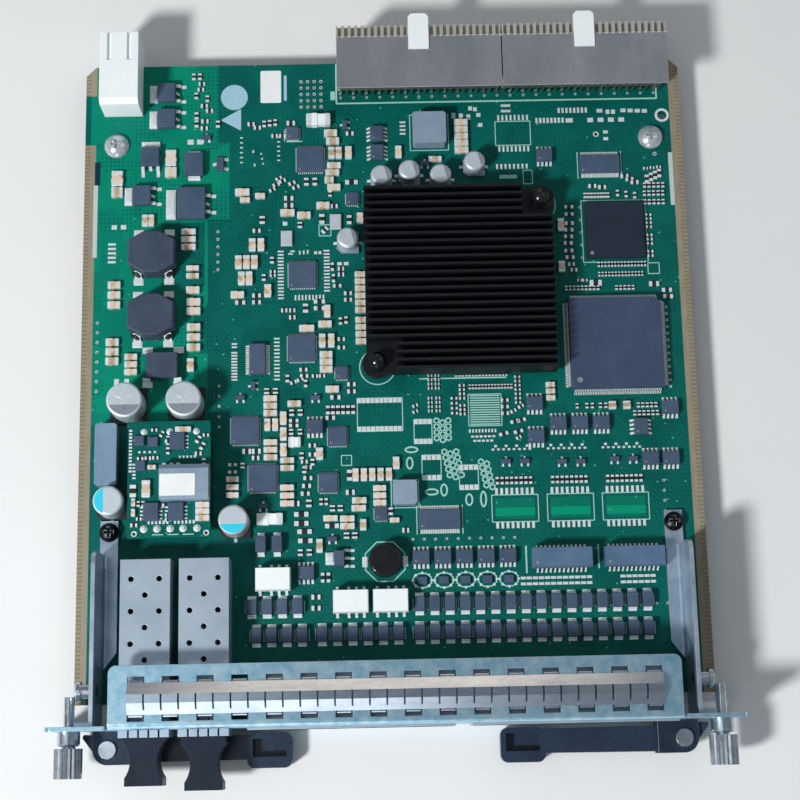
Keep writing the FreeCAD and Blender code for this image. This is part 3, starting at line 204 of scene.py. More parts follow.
def copies(pattern, places):
    """A copy of the pattern with its own mesh at every place."""
    made = []
    for place in places:
        copy = pattern.copy()
        copy.data = pattern.data.copy()
        copy.data.transform(place)
        bpy.context.collection.objects.link(copy)
        made.append(copy)
    return made


def strewn(name, pattern, places):
    """One piece out of copies of a pattern."""
    return joined(name, copies(pattern, places))


def stepped(x, y, count=1, step_x=0.0, step_y=0.0):
    """Points of a row that starts at a point."""
    return [(x + index * step_x, y + index * step_y) for index in range(count)]


def disc(name, x, y, z, radius, sides, turn=0.0, stretch=1.0):
    """A flat disc on a level, ready in edit mode with its face selected."""
    bpy.ops.object.select_all(action="DESELECT")
    bpy.ops.mesh.primitive_circle_add(vertices=sides, radius=radius * MM, fill_type="NGON",
                                      location=(x * MM, y * MM, z * MM), rotation=(0, 0, math.radians(turn)))
    piece = named(name)
    pick(piece, everything)
    swell((x, y, z), 1, stretch, 1)
    return piece


def hoop(name, x, y, z, radius, width, sides=40, turn=0.0, stretch=1.0):
    """A flat ring on a level."""
    piece = disc(name, x, y, z, radius, sides, turn, stretch)
    bpy.ops.mesh.inset(thickness=width * MM)
    bpy.ops.mesh.delete(type="FACE")
    bpy.ops.mesh.select_all(action="SELECT")
    push(0, 0, ink_height)
    return settled(piece)


def segment(name, x, y, z, radius, chord, turn):
    """The part of a disc beyond a chord on the side that the turn points to."""
    piece = disc(name, x, y, z, radius, 48)
    way = Vector((math.cos(math.radians(turn)), math.sin(math.radians(turn)), 0))
    bpy.ops.mesh.bisect(plane_co=Vector((x, y, z)) * MM + way * chord * MM, plane_no=way, clear_inner=True)
    bpy.ops.mesh.select_all(action="SELECT")
    push(0, 0, mark_height)
    return settled(piece)


def node_box(name):
    """Lowest and highest corner of a node, in millimetres."""
    return [Vector(corner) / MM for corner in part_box(name)]


def solids(name):
    """Lowest and highest corners of the separate solids of a node, in millimetres."""
    node = nodes[name]
    points = [node.matrix_world @ corner.co / MM for corner in node.data.vertices]
    keys = [tuple(round(c, 2) for c in point) for point in points]
    group = {key: key for key in keys}

    def root(key):
        while group[key] != key:
            key = group[key]
        return key

    for face in node.data.polygons:
        first = root(keys[face.vertices[0]])
        for corner in face.vertices:
            group[root(keys[corner])] = first
    found = {}
    for key in group:
        found.setdefault(root(key), []).append(key)
    return [(Vector(tuple(map(min, *solid))), Vector(tuple(map(max, *solid)))) for solid in found.values()]


# Finishes

def tone(red, green, blue):
    """Screen colour of 0 to 255 as a linear colour."""
    parts = [c / 255 for c in (red, green, blue)]
    return tuple(c / 12.92 if c <= 0.04045 else ((c + 0.055) / 1.055) ** 2.4 for c in parts) + (1.0,)


class Value:
    """A socket of a finish that takes part in sums like a number."""

    def __init__(self, finish, socket):
        self.finish = finish
        self.socket = socket

    def sum(self, operation, *others):
        return self.finish.node("ShaderNodeMath", {"operation": operation}, dict(enumerate((self, *others))))

    def reflected(self, operation, other):
        return self.finish.node("ShaderNodeMath", {"operation": operation}, {0: other, 1: self})

    __add__ = partialmethod(sum, "ADD")
    __radd__ = partialmethod(reflected, "ADD")
    __sub__ = partialmethod(sum, "SUBTRACT")
    __rsub__ = partialmethod(reflected, "SUBTRACT")
    __mul__ = partialmethod(sum, "MULTIPLY")
    __rmul__ = partialmethod(reflected, "MULTIPLY")
    __mod__ = partialmethod(sum, "FLOORED_MODULO")
    __gt__ = partialmethod(sum, "GREATER_THAN")
    __lt__ = partialmethod(sum, "LESS_THAN")
    __or__ = partialmethod(sum, "MAXIMUM")
    __abs__ = partialmethod(sum, "ABSOLUTE")


class Finish:
    """A material with its nodes."""

    def __init__(self, name):
        self.material = bpy.data.materials.new(name)
        self.material.use_nodes = True
        self.tree = self.material.node_tree
        self.shader = self.tree.nodes["Principled BSDF"]
        self.place = self.node("ShaderNodeTexCoord", output="Object")
        self.x, self.y, self.z = self.place_parts()

    def place_parts(self):
        """The three coordinates in millimetres."""
        node = self.tree.nodes.new("ShaderNodeSeparateXYZ")
        self.tree.links.new(self.place.socket, node.inputs[0])
        return [Value(self, socket) * (1 / MM) for socket in node.outputs]

    def node(self, kind, settings=None, inputs=None, output=0):
        made = self.tree.nodes.new(kind)
        for key, value in (settings or {}).items():
            if key == "stops":
                while len(made.color_ramp.elements) < len(value):
                    made.color_ramp.elements.new(1.0)
                for stop, (position, colour) in zip(made.color_ramp.elements, value):
                    stop.position = position
                    stop.color = colour
            else:
                setattr(made, key, value)
        for key, value in (inputs or {}).items():
            if isinstance(value, Value):
                self.tree.links.new(value.socket, made.inputs[key])
            else:
                made.inputs[key].default_value = value
        return Value(self, made.outputs[output])

    def noise(self, size, detail=3.0, rough=0.6, stretch=None):
        """Cloudy value whose patches are about this many millimetres."""
        place = self.place
        if stretch:
            place = self.node("ShaderNodeMapping", {}, {"Vector": place, "Scale": stretch})
        return self.node("ShaderNodeTexNoise", {},
                         {"Vector": place, "Scale": 1 / (size * MM), "Detail": detail, "Roughness": rough})

    def cells(self, size, output, metric="EUCLIDEAN"):
        """Voronoi cells about this many millimetres apart."""
        return self.node("ShaderNodeTexVoronoi", {"distance": metric},
                         {"Vector": self.place, "Scale": 1 / (size * MM)}, output)

    def mix(self, share, first, second):
        """Colour between two."""
        return self.node("ShaderNodeMix", {"data_type": "RGBA"}, {0: share, 6: first, 7: second}, 2)

    def ramp(self, value, *stops):
        """Value spread over colour stops."""
        return self.node("ShaderNodeValToRGB", {"stops": stops}, {"Fac": value})

    def within(self, x0, x1, y0, y1):
        """One inside a rectangle of the board and nought outside."""
        return (self.x > x0) * (self.x < x1) * (self.y > y0) * (self.y < y1)

    def rounded(self, radius):
        """Normal that is round at the edges, and a value that is about one there and nought on flat faces."""
        soft = self.node("ShaderNodeBevel", {"samples": 4}, {"Radius": radius * MM})
        flat = self.node("ShaderNodeNewGeometry", output="True Normal")
        along = self.node("ShaderNodeVectorMath", {"operation": "DOT_PRODUCT"}, {0: soft, 1: flat}, "Value")
        return soft, (1 - along) * 4.0

    def bump(self, height, depth, strength=1.0, normal=None):
        """Normal from a height, its full depth in millimetres."""
        sockets = {"Strength": strength, "Distance": depth * MM, "Height": height}
        if normal:
            sockets["Normal"] = normal
        return self.node("ShaderNodeBump", {}, sockets)

    def set(self, **sockets):
        """Sets the shader's sockets, with underscores for spaces."""
        for key, value in sockets.items():
            socket = self.shader.inputs[key.replace("_", " ")]
            if isinstance(value, Value):
                self.tree.links.new(value.socket, socket)
            else:
                socket.default_value = value
        return self.material


def solder_mask():
    """Green mask over copper, with bare edges and plated strips."""
    f = Finish("green_solder_mask")
    patches = f.cells(7.0, "Color", "CHEBYCHEV")
    shade = f.node("ShaderNodeSeparateColor", {}, {0: patches}, 0)
    cloud = f.noise(38.0, 2.0)
    deep = f.mix(shade * 0.45 + cloud * 0.35, tone(0, 84, 78), tone(0, 102, 93))
    power = f.within(-90, -51, 176, 203) | f.within(-90, -47.5, 152, 176.5) | f.within(-90, -54, 89, 152.5)
    upper = f.z > (board_top + board_bottom) / 2
    patchy = f.within(-58, -50, 103, 128) * (shade > 0.5)
    power = power * upper * (1 - f.within(-68, -55, 131, 151)) * (1 - patchy)
    pours = f.mix(shade * 0.6 + cloud * 0.4, tone(0, 140, 110), tone(0, 114, 100))
    colour = f.mix(power, deep, pours)
    bright = f.within(30.4, 42.0, 58.6, 64.6) | f.within(46.7, 58.3, 58.6, 64.6)
    bright = (bright | f.within(62.9, 74.5, 58.6, 64.6)) * upper
    colour = f.mix(bright, colour, f.mix((f.y > 59.4) * (f.y < 61.8), tone(0, 112, 92), tone(0, 146, 112)))
    tracks = f.node("ShaderNodeTexWave", {"wave_type": "BANDS", "bands_direction": "DIAGONAL"},
                    {"Vector": f.place, "Scale": 420.0, "Distortion": 6.0, "Detail": 1.0,
                     "Detail Scale": 0.6}, 1)
    tracks = (tracks > 0.72) * (f.noise(12.0, 1.0) > 0.5)
    colour = f.mix(tracks * 0.22, colour, tone(10, 136, 116))
    across = f.x % 1.3 - 0.65
    along = f.y % 1.3 - 0.65
    stitches = (across * across + along * along < 0.13) * (f.noise(14.0, 1.0) > 0.55) * (1 - bright)
    colour = f.mix(stitches * 0.4, colour, tone(0, 62, 60))
    vias = (f.cells(3.1, "Distance") < 0.085) * (f.noise(9.0, 1.0) > 0.46)
    colour = f.mix(vias * 0.7, colour, tone(112, 190, 176))
    bare = (f.x < -88.4) * (1 - f.within(-95, -80, 176.5, 192.5)) | (f.x > 88.4)
    fibre = f.noise(1.4, 4.0, 0.7, (1.0, 0.25, 1.0))
    edge = f.mix(fibre, tone(124, 116, 98), tone(164, 156, 136))
    ticks = (f.y % 1.25 < 0.5) * (abs(f.x) > 90.1)
    colour = f.mix(bare, colour, f.mix(ticks * 0.5, edge, tone(98, 92, 78)))
    strips = f.within(-88.9, -87.6, 140.5, 163.5) | f.within(87.2, 88.5, 154, 171)
    colour = f.mix(strips, colour, tone(188, 200, 200))
    colour = f.mix(f.within(-88.6, -86.9, 163.5, 171), colour, tone(18, 50, 66))
    rough = 0.36 + f.noise(5.0) * 0.14 + bare * 0.25
    relief = tracks * 0.5 + vias * -0.8 + stitches * -0.4 + f.noise(0.8, 2.0) * 0.25
    return f.set(Base_Color=colour, Roughness=rough, Normal=f.bump(relief, 0.03, 0.6), IOR=1.5,
                 Specular_IOR_Level=0.14)


def plated(name, low, high, rough, grain=6.0, stretch=None, metallic=1.0, round_edge=0.25, depth=0.01):
    """Metal with cloudy plating, fine scratches, and paler edges that are partly edge wear and partly painted
    edge highlight.
    """
    f = Finish(name)
    cloud = f.noise(grain, 4.0, 0.65, stretch)
    spots = f.noise(1.1, 3.0, 0.7)
    scratch = f.noise(0.5, 2.0, 0.5, (0.12, 1.0, 1.0))
    soft, edge = f.rounded(round_edge) if round_edge else (None, 0.0)
    # Edges are painted paler, partly edge wear and partly painted highlight along bends and rims
    edge_wear_and_highlight = edge * (0.3 + spots)
    colour = f.mix(f.ramp(cloud, (0.3, (0, 0, 0, 1)), (0.75, (1, 1, 1, 1))), tone(*low), tone(*high))
    return f.set(Base_Color=f.mix(edge_wear_and_highlight, colour, tone(238, 242, 245)), Metallic=metallic,
                 Roughness=rough - 0.06 + spots * 0.14,
                 Normal=f.bump(spots * 0.5 + scratch * 0.5, depth, 0.5, soft))


def moulded(name, base, pale_and_highlight_tone, rough, grain=0.35, depth=0.02, sheen=0.5, round_edge=0.2):
    """Moulded plastic or resin with a fine grain and edges painted a little paler, partly slight wear and
    partly painted edge highlight.
    """
    f = Finish(name)
    cloud = f.noise(7.0, 3.0)
    fine = f.noise(grain, 2.0, 0.6)
    soft, edge = f.rounded(round_edge)
    # The edge term paints the edges paler: slight wear and painted edge highlight
    shade = cloud * 0.6 + fine * 0.4 + edge * 0.5
    colour = f.mix(f.ramp(shade, (0.35, (0, 0, 0, 1)), (0.8, (1, 1, 1, 1))), tone(*base), tone(*pale_and_highlight_tone))
    return f.set(Base_Color=colour, Roughness=rough - 0.05 + fine * 0.12,
                 Normal=f.bump(fine, depth, 0.5, soft), Specular_IOR_Level=sheen)


def baked_ceramic():
    """Tan bodies of the capacitors, each of its own shade."""
    f = Finish("tan_ceramic")
    shade = f.node("ShaderNodeSeparateColor", {}, {0: f.cells(3.4, "Color")}, 0)
    colour = f.ramp(shade, (0.1, tone(168, 146, 116)), (0.5, tone(206, 188, 160)), (0.9, tone(222, 200, 184)))
    speck = f.noise(0.3, 2.0)
    return f.set(Base_Color=f.mix(speck * 0.3, colour, tone(236, 226, 208)), Roughness=0.42 + speck * 0.15,
                 Normal=f.bump(speck, 0.01, 0.5))


def spun_aluminium():
    """Drawn cans with faint turning marks."""
    f = Finish("drawn_aluminium")
    streak = f.noise(1.6, 3.0, 0.6, (1.0, 1.0, 0.1))
    cloud = f.noise(4.0, 3.0)
    soft, edge = f.rounded(0.5)
    # The edge term paints the rims brighter as a painted highlight
    colour = f.mix(cloud + edge, tone(198, 214, 228), tone(236, 245, 250))
    return f.set(Base_Color=colour, Metallic=0.55, Roughness=0.3 + streak * 0.12,
                 Normal=f.bump(streak, 0.01, 0.4, soft))


def black_fins():
    """Black anodised aluminium with a dull sheen along the fins, painted as paler streaks over the brushed
    grain.
    """
    f = Finish("black_anodised")
    streak = f.noise(1.0, 3.0, 0.6, (0.06, 1.0, 1.0))
    # Paler streaks in the colour are painted sheen
    colour = f.mix(streak, tone(8, 9, 15), tone(26, 28, 36))
    return f.set(Base_Color=colour, Metallic=0.35, Roughness=0.36 + streak * 0.2,
                 Normal=f.bump(streak, 0.01, 0.5))


def connector_resin():
    """Glass-filled resin of the backplane connectors, ribbed along its rows of contacts."""
    f = Finish("connector_resin")
    rib_pitch = 2.0
    bands_per_unit = 3.1831
    rib = f.node("ShaderNodeTexWave", {"wave_type": "BANDS", "bands_direction": "X"},
                 {"Vector": f.place, "Scale": 1 / (rib_pitch * MM) / bands_per_unit, "Distortion": 0.0}, 1)
    speck = f.noise(0.6, 3.0)
    colour = f.mix(speck * 0.6 + rib * 0.3, tone(144, 144, 138), tone(192, 190, 182))
    return f.set(Base_Color=colour, Roughness=0.5 + speck * 0.15, Normal=f.bump(speck + rib * 0.5, 0.03, 0.5))


def capacitor_feet():
    """Black feet under the wide cans and paler ones under the small cans behind them."""
    f = Finish("capacitor_feet")
    fine = f.noise(0.4, 2.0)
    soft, edge = f.rounded(0.2)
    # The edge term paints the edges of the feet paler as a painted highlight
    black = f.mix(fine * 0.6 + edge * 0.5, tone(14, 15, 18), tone(36, 38, 43))
    pale = f.mix(fine * 0.6 + edge * 0.5, tone(112, 124, 148), tone(150, 164, 182))
    return f.set(Base_Color=f.mix(f.y > 120, black, pale), Roughness=0.44 + fine * 0.12,
                 Normal=f.bump(fine, 0.01, 0.5, soft))


def printed_ink(name, colour, pale):
    """Printed legend with slightly uneven ink."""
    f = Finish(name)
    speck = f.noise(0.5, 2.0)
    return f.set(Base_Color=f.mix(speck * 0.7, tone(*colour), tone(*pale)), Roughness=0.5 + speck * 0.2,
                 Normal=f.bump(speck, 0.005, 0.4))


mask = solder_mask()
zinc = plated("blue_zinc", (138, 193, 222), (206, 234, 246), 0.3, 3.0, metallic=0.86)
rail_zinc = plated("rail_zinc", (146, 170, 194), (202, 216, 228), 0.3, 8.0, metallic=0.7)
dark_steel = plated("dark_steel", (36, 48, 64), (62, 76, 94), 0.34, 6.0, metallic=0.6)
bright_spring = plated("bright_spring", (176, 190, 206), (210, 224, 236), 0.22, 5.0, (0.3, 1.0, 1.0),
                       round_edge=0.0, depth=0.002)
tin_shell = plated("tin_shell", (168, 185, 201), (190, 205, 220), 0.4, 14.0, metallic=0.7)
nickel = plated("nickel", (172, 184, 196), (226, 232, 238), 0.24, 3.0)
dark_screw = plated("dark_screw", (22, 23, 26), (48, 50, 56), 0.34, 2.0)
shield_tin = plated("shield_tin", (136, 141, 150), (166, 169, 175), 0.45, 14.0, (1.0, 0.4, 1.0), 0.6)
solder = plated("solder", (208, 221, 226), (238, 246, 248), 0.34, 1.2, metallic=0.25, round_edge=0.05)
crystal_tin = plated("crystal_tin", (188, 198, 208), (212, 220, 228), 0.4, 3.0, metallic=0.3)
dome_nickel = plated("dome_nickel", (186, 196, 206), (230, 236, 241), 0.22, 3.0, metallic=0.6)
contact = plated("contact_tin", (150, 150, 142), (206, 204, 194), 0.34, 1.5, round_edge=0.05)
score_metal = plated("score_metal", (226, 236, 244), (246, 250, 252), 0.3, 2.0, metallic=0.3, round_edge=0.05)
black_plastic = moulded("black_moulding", (14, 15, 18), (34, 36, 41), 0.46)
pin_plastic = moulded("push_pin_moulding", (10, 11, 14), (30, 33, 38), 0.18)
plug_plastic = moulded("plug_moulding", (14, 26, 40), (32, 46, 62), 0.46, 0.5, 0.03, sheen=0.25)
lever_plastic = moulded("lever_moulding", (31, 46, 65), (44, 61, 82), 0.26, 0.5, 0.004)
white_plastic = moulded("white_moulding", (234, 244, 247), (248, 252, 253), 0.4)
epoxy = moulded("package_epoxy", (53, 72, 98), (80, 99, 125), 0.5, 0.25)
transformer_epoxy = moulded("transformer_epoxy", (70, 98, 130), (96, 124, 154), 0.5, 0.25)
dark_epoxy = moulded("memory_epoxy", (8, 26, 44), (26, 44, 62), 0.5, 0.25)
grey_epoxy = moulded("quad_epoxy", (48, 64, 92), (64, 82, 110), 0.46, 0.3)
pressed_ferrite = moulded("pressed_ferrite", (42, 58, 78), (66, 82, 104), 0.62, 0.5, 0.05)
module_grey = moulded("module_resin", (106, 132, 158), (130, 156, 182), 0.55, 0.5, 0.03)
light_ferrite = moulded("light_ferrite", (120, 141, 164), (152, 171, 191), 0.5, 0.5, 0.03)
black_ferrite = moulded("black_ferrite", (14, 14, 16), (34, 35, 39), 0.16, 0.5, 0.006, round_edge=1.2)
carrier = moulded("chip_carrier", (20, 84, 60), (34, 108, 80), 0.45)
pad_grey = moulded("soft_pad", (120, 122, 126), (150, 152, 154), 0.8, 0.8, 0.05)
paper = moulded("label_paper", (226, 232, 234), (246, 248, 248), 0.6, 0.8, 0.01)
resistor_glaze = moulded("resistor_glaze", (20, 24, 32), (46, 52, 62), 0.35)
ceramic = baked_ceramic()
can = spun_aluminium()
fins = black_fins()
resin = connector_resin()
foot_plastic = capacitor_feet()
legend = printed_ink("legend_ink", (128, 196, 188), (196, 228, 222))
pale_blue = printed_ink("pale_blue_ink", (146, 190, 212), (172, 208, 224))
cyan_ink = printed_ink("cyan_ink", (20, 196, 226), (60, 214, 238))
grey_ink = printed_ink("grey_ink", (112, 120, 134), (146, 154, 166))
# Dark insides of holes: painted shade that stands in for the depth of the holes
socket_dark = printed_ink("socket_dark", (18, 18, 20), (34, 34, 36))

node_finishes = {
    mask: ["circuit_board", "converter_board"],
    zinc: ["front_panel"],
    dark_steel: ["lever_bracket_left", "lever_bracket_right"],
    rail_zinc: ["side_rail_left", "side_rail_right"],
    bright_spring: ["spring_strip"],
    tin_shell: ["module_cage_left", "module_cage_right", "jack_shell_left", "jack_shell_right"],
    nickel: ["side_studs", "dome_nuts", "thumb_collars", "lever_pins", "thumbscrew_left", "thumbscrew_right"],
    dome_nickel: ["dome_screws"],
    crystal_tin: ["crystals"],
    dark_screw: ["rail_screws"],
    shield_tin: ["plane_shield_left", "plane_shield_right"],
    contact: ["plane_tails"],
    black_plastic: ["cage_sockets", "converter_headers", "jack_insert_left", "jack_insert_right"],
    foot_plastic: ["capacitor_bases"],
    pin_plastic: ["push_pins"],
    lever_plastic: ["lever_left", "lever_right"],
    plug_plastic: ["dust_plug_left", "dust_plug_right"],
    white_plastic: ["coding_keys", "power_connector", "relays"],
    epoxy: ["outline_chips", "leadless_chips", "flash_chips", "power_transistors", "line_diodes",
            "converter_chips"],
    transformer_epoxy: ["line_transformers"],
    grey_epoxy: ["quad_chip"],
    dark_epoxy: ["memory_chip"],
    pressed_ferrite: ["power_chokes"],
    module_grey: ["power_module"],
    light_ferrite: ["shielded_chokes", "converter_transformer"],
    black_ferrite: ["round_choke"],
    carrier: ["processor"],
    pad_grey: ["thermal_pad"],
    can: ["large_capacitors", "polymer_capacitors", "small_capacitors"],
    fins: ["heat_sink"],
    resin: ["plane_housing_left", "plane_housing_right"],
}
for finish, names in node_finishes.items():
    for name in names:
        for place in nodes[name].material_slots:
            place.material = finish


# Patterns that are copied

def chip_pattern(name, body, half):
    """Chip part one unit long, wide and tall, with metal ends beyond half the bare length."""
    piece = block(name, -half, half, -0.47, 0.47, 0.0, 0.94)
    for side in (-1, 1):
        pick(piece, lambda middle, normal: normal.x * side > 0.9)
        push(0, 0, 0)
        swell((side * half, 0, 0.47), 1, 1.06, 1.06)
        push(side * (0.5 - half), 0, 0)
        settled(piece)
    eased(piece, 0.05, lambda middle, direction: abs(middle.x) > 0.49)
    return finished(piece, body, solder, where=lambda middle: abs(middle.x) > half - 0.005)


def crowned(piece, finish, *steps):
    """Raises the top of a piece in steps of height, each narrowed by its width and depth."""
    pick(piece, upward)
    for rise, wide, deep in steps:
        push(0, 0, rise)
        swell((0, 0, 0), wide, deep, 1)
    settled(piece)
    return finished(piece, finish)


def lead_pattern():
    """Bent lead one unit wide, reaching one unit along Y to the body and one unit up."""
    piece = block("lead_pattern", -0.5, 0.5, 0, 0.4, 0, 0.14)
    pick(piece, lambda middle, normal: normal.y > 0.9)
    push(0, 0.2, 0.74)
    push(0, 0.4, 0.06)
    settled(piece)
    return finished(piece, solder)


def hole_pattern():
    """Contact hole one unit square in an upright face, its mouth towards the back and its shallow bottom
    painted dark as the shade of a deep hole.
    """
    piece = block("hole_pattern", -0.5, 0.5, -0.1, 0.08, -0.5, 0.5)
    pick(piece, lambda middle, normal: normal.y > 0.9)
    bpy.ops.mesh.inset(thickness=0.16 * MM)
    bpy.ops.transform.translate(value=(0, -0.12 * MM, 0))
    settled(piece)
    return finished(piece, resin, socket_dark, where=lambda middle: middle.y < 0.0 and middle.length < 0.3)


def wire_pattern():
    """Spring wire of a jack, from the roof at the mouth down towards the back."""
    piece = block("wire_pattern", -0.21, 0.21, 1.4, 1.7, -0.2, 0.1)
    pick(piece, lambda middle, normal: normal.y > 0.9)
    push(0, 0.6, 0.0)
    push(0, 6.6, -2.6)
    push(0, 0.7, 0.25)
    settled(piece)
    eased(piece, 0.05, lambda middle, direction: abs(direction.x) < 0.1)
    return finished(piece, contact)


def ring_pattern():
    """Plated hole one unit across with a sunk middle, whose bottom is painted dark as the shade of a deep
    hole.
    """
    piece = drum("ring_pattern", 0, 0, 0, 0.5, 1.0, 12)
    pick(piece, upward)
    sunk(-0.7, 0.2)
    settled(piece)
    return finished(piece, solder, socket_dark, where=lambda middle: middle.z < 0.5 and middle.length < 0.4)


capacitor = chip_pattern("capacitor_pattern", ceramic, 0.25)
resistor = chip_pattern("resistor_pattern", resistor_glaze, 0.2)
bead = chip_pattern("bead_pattern", white_plastic, 0.27)
lead = lead_pattern()
pad = crowned(block("pad_pattern", -0.5, 0.5, -0.5, 0.5, 0, 0.7), solder, (0.3, 0.6, 0.6))
ring = ring_pattern()
fillet = crowned(drum("fillet_pattern", 0, 0, 0, 0.5, 0.2, 10), solder, (0.3, 0.62, 0.62), (0.5, 0.7, 0.7))
stroke = crowned(block("stroke_pattern", -0.5, 0.5, -0.5, 0.5, 0, 0.8), legend, (0.2, 0.98, 0.85))
small_body = crowned(block("small_body_pattern", -0.5, 0.5, -0.5, 0.5, 0.1, 0.5), epoxy, (0.5, 0.9, 0.8))
contact_hole = hole_pattern()
wire = wire_pattern()
patterns = [capacitor, resistor, bead, lead, pad, ring, fillet, stroke, small_body, contact_hole, wire]


# Leads of the packages

def side_leads(box, sides, count, pitch, wide, reach, tall, offset=0.0):
    """Places of leads along some sides of a package, named by the compass with north at the back."""
    lo, hi = box
    middle = (lo + hi) / 2
    places = []
    for index in range(count):
        along = (index - (count - 1) / 2) * pitch + offset
        if "s" in sides:
            places.append(at(middle.x + along, lo.y - reach + 0.2, board_top, wide, reach, tall))
        if "n" in sides:
            places.append(at(middle.x + along, hi.y + reach - 0.2, board_top, wide, reach, tall, 180))
        if "w" in sides:
            places.append(at(lo.x - reach + 0.2, middle.y + along, board_top, wide, reach, tall, -90))
        if "e" in sides:
            places.append(at(hi.x + reach - 0.2, middle.y + along, board_top, wide, reach, tall, 90))
    return places


quad_leads = side_leads(solids("quad_chip")[0], "nsew", 52, 0.5, 0.26, 1.5, 1.8)
strewn("quad_chip_leads", lead, quad_leads)

outline_leads = []
for box in solids("outline_chips"):
    size = box[1] - box[0]
    sides = "ns" if size.x > size.y else "ew"
    if max(size) > 8:
        outline_leads += side_leads(box, sides, 14, 0.65, 0.42, 1.3, 0.9)
    else:
        outline_leads += side_leads(box, sides, 4, 1.27, 0.7, 1.35, 0.9)
for box in solids("flash_chips"):
    outline_leads += side_leads(box, "ns", 23, 0.5, 0.37, 1.3, 0.7)
for box in solids("line_transformers"):
    outline_leads += side_leads(box, "ns", 12, 1.27, 0.55, 1.2, 1.6)
for box in solids("relays"):
    for offset in (-3.9, -0.6, 1.6, 3.8):
        outline_leads += side_leads(box, "ns", 1, 1.0, 0.8, 1.3, 1.3, offset)
for box in solids("line_diodes"):
    outline_leads += side_leads(box, "ns", 1, 1.0, 2.5, 1.25, 1.0)
strewn("package_leads", lead, outline_leads)

edge_pads = []
edge_pitch = 0.6
for lo, hi in solids("leadless_chips"):
    steps = int((hi.x - lo.x - 0.9) / edge_pitch)
    for index in range(steps + 1):
        along = (index - steps / 2) * edge_pitch
        x = (lo.x + hi.x) / 2 + along
        y = (lo.y + hi.y) / 2 + along
        edge_pads += [at(x, edge, board_top, 0.36, 0.5, 0.55) for edge in (lo.y, hi.y)]
        edge_pads += [at(edge, y, board_top, 0.5, 0.36, 0.55) for edge in (lo.x, hi.x)]
strewn("leadless_pads", pad, edge_pads)

# Tabs and legs of the power transistors, then those of the cans and the power chokes
power_tabs = [(-70.7, 192.6, 2.6, 5.6), (-70.7, 184.2, 2.6, 5.6), (-71.5, 175.9, 5.6, 2.4),
              (-78.0, 159.5, 2.6, 5.6), (-65.2, 156.7, 3.0, 9.4), (-18.2, 47.8, 2.6, 3.6)]
power_legs = [(-66.7, 192.6, "e", 2.4), (-66.7, 184.2, "e", 2.4), (-71.5, 171.9, "s", 2.3),
              (-74.0, 159.5, "e", 2.4), (-58.9, 156.7, "e", 2.6)]
tabs = [at(x, y, board_top, wide, deep, 0.9) for x, y, wide, deep in power_tabs]
legs = []
for x, y, side, spread in power_legs:
    for lo, hi in solids("power_transistors"):
        if lo.x < x < hi.x and lo.y < y < hi.y:
            for offset in (-spread, spread):
                legs += side_leads((lo, hi), side, 1, 1.0, 1.0, 3.2, 1.3, offset)
            legs += side_leads((lo, hi), side, 1, 1.0, 0.9, 1.2, 1.3)
for lo, hi in solids("power_transistors"):
    if lo.x < -15.5 < hi.x:
        legs += side_leads((lo, hi), "e", 3, 2.3, 0.8, 3.0, 1.2)
for x, y in [(-38.2, 52.3), (-33.5, 52.3), (-58.2, 169.2)]:
    for lo, hi in solids("power_transistors"):
        if lo.x < x < hi.x and lo.y < y < hi.y:
            legs += side_leads((lo, hi), "ns", 1, 1.0, 0.62 * (hi.x - lo.x), 1.3, 1.1)
for lo, hi in solids("capacitor_bases"):
    sides = "ns" if hi.x - lo.x > 8 else "ew"
    legs += side_leads((lo, hi), sides, 1, 1.0, 0.9, 1.3, 0.3)
for lo, hi in solids("power_chokes"):
    inset = Vector((0, 1.4, 0)) if hi.x - lo.x > 12 else Vector()
    for offset in (-4.6, 4.6):
        legs += side_leads((lo + inset, hi - inset), "ns", 1, 1.0, 2.2, 1.6 + inset.y, 2.6, offset)
        x = (lo.x + hi.x) / 2 + offset
        tabs += [at(x, y, board_top, 3.0, 2.0, 0.3) for y in (lo.y - 1.3, hi.y + 1.3)]
corner_wire = drum("corner_wire", 0, 0, 0, 1.0, 2.0, 14)
eased(corner_wire, 0.4, lambda middle, direction: middle.z > 1.9, 2)
finished(corner_wire, black_ferrite)
wire_ends = [at(x, y, board_top, 1.5, 0.8, 1.2, turn) for lo, hi in solids("power_chokes") if hi.x - lo.x > 12
             for x, y, turn in [(lo.x + 1.8, lo.y + 0.8, -29), (hi.x - 1.8, lo.y + 0.8, 29),
                                (lo.x + 1.8, hi.y - 0.8, 29), (hi.x - 1.8, hi.y - 0.8, -29)]]
strewn("choke_wire_ends", corner_wire, wire_ends)
bpy.data.objects.remove(corner_wire)
strewn("power_part_tabs", pad, tabs)
strewn("power_part_leads", lead, legs)


# Chip parts by their turn: x, y, length, width, and for rows of several also count, step x, step y

def rows(table, tall, level=board_top, turn=0):
    """Places of parts in rows that have one turn."""
    return [at(*point, level, length, wide, tall, turn)
            for x, y, length, wide, *run in table for point in stepped(x, y, *run)]


def turned_rows(tables, tall, level=board_top):
    """Places of parts in rows for every turn."""
    return [place for turn, table in tables.items() for place in rows(table, tall, level, turn)]


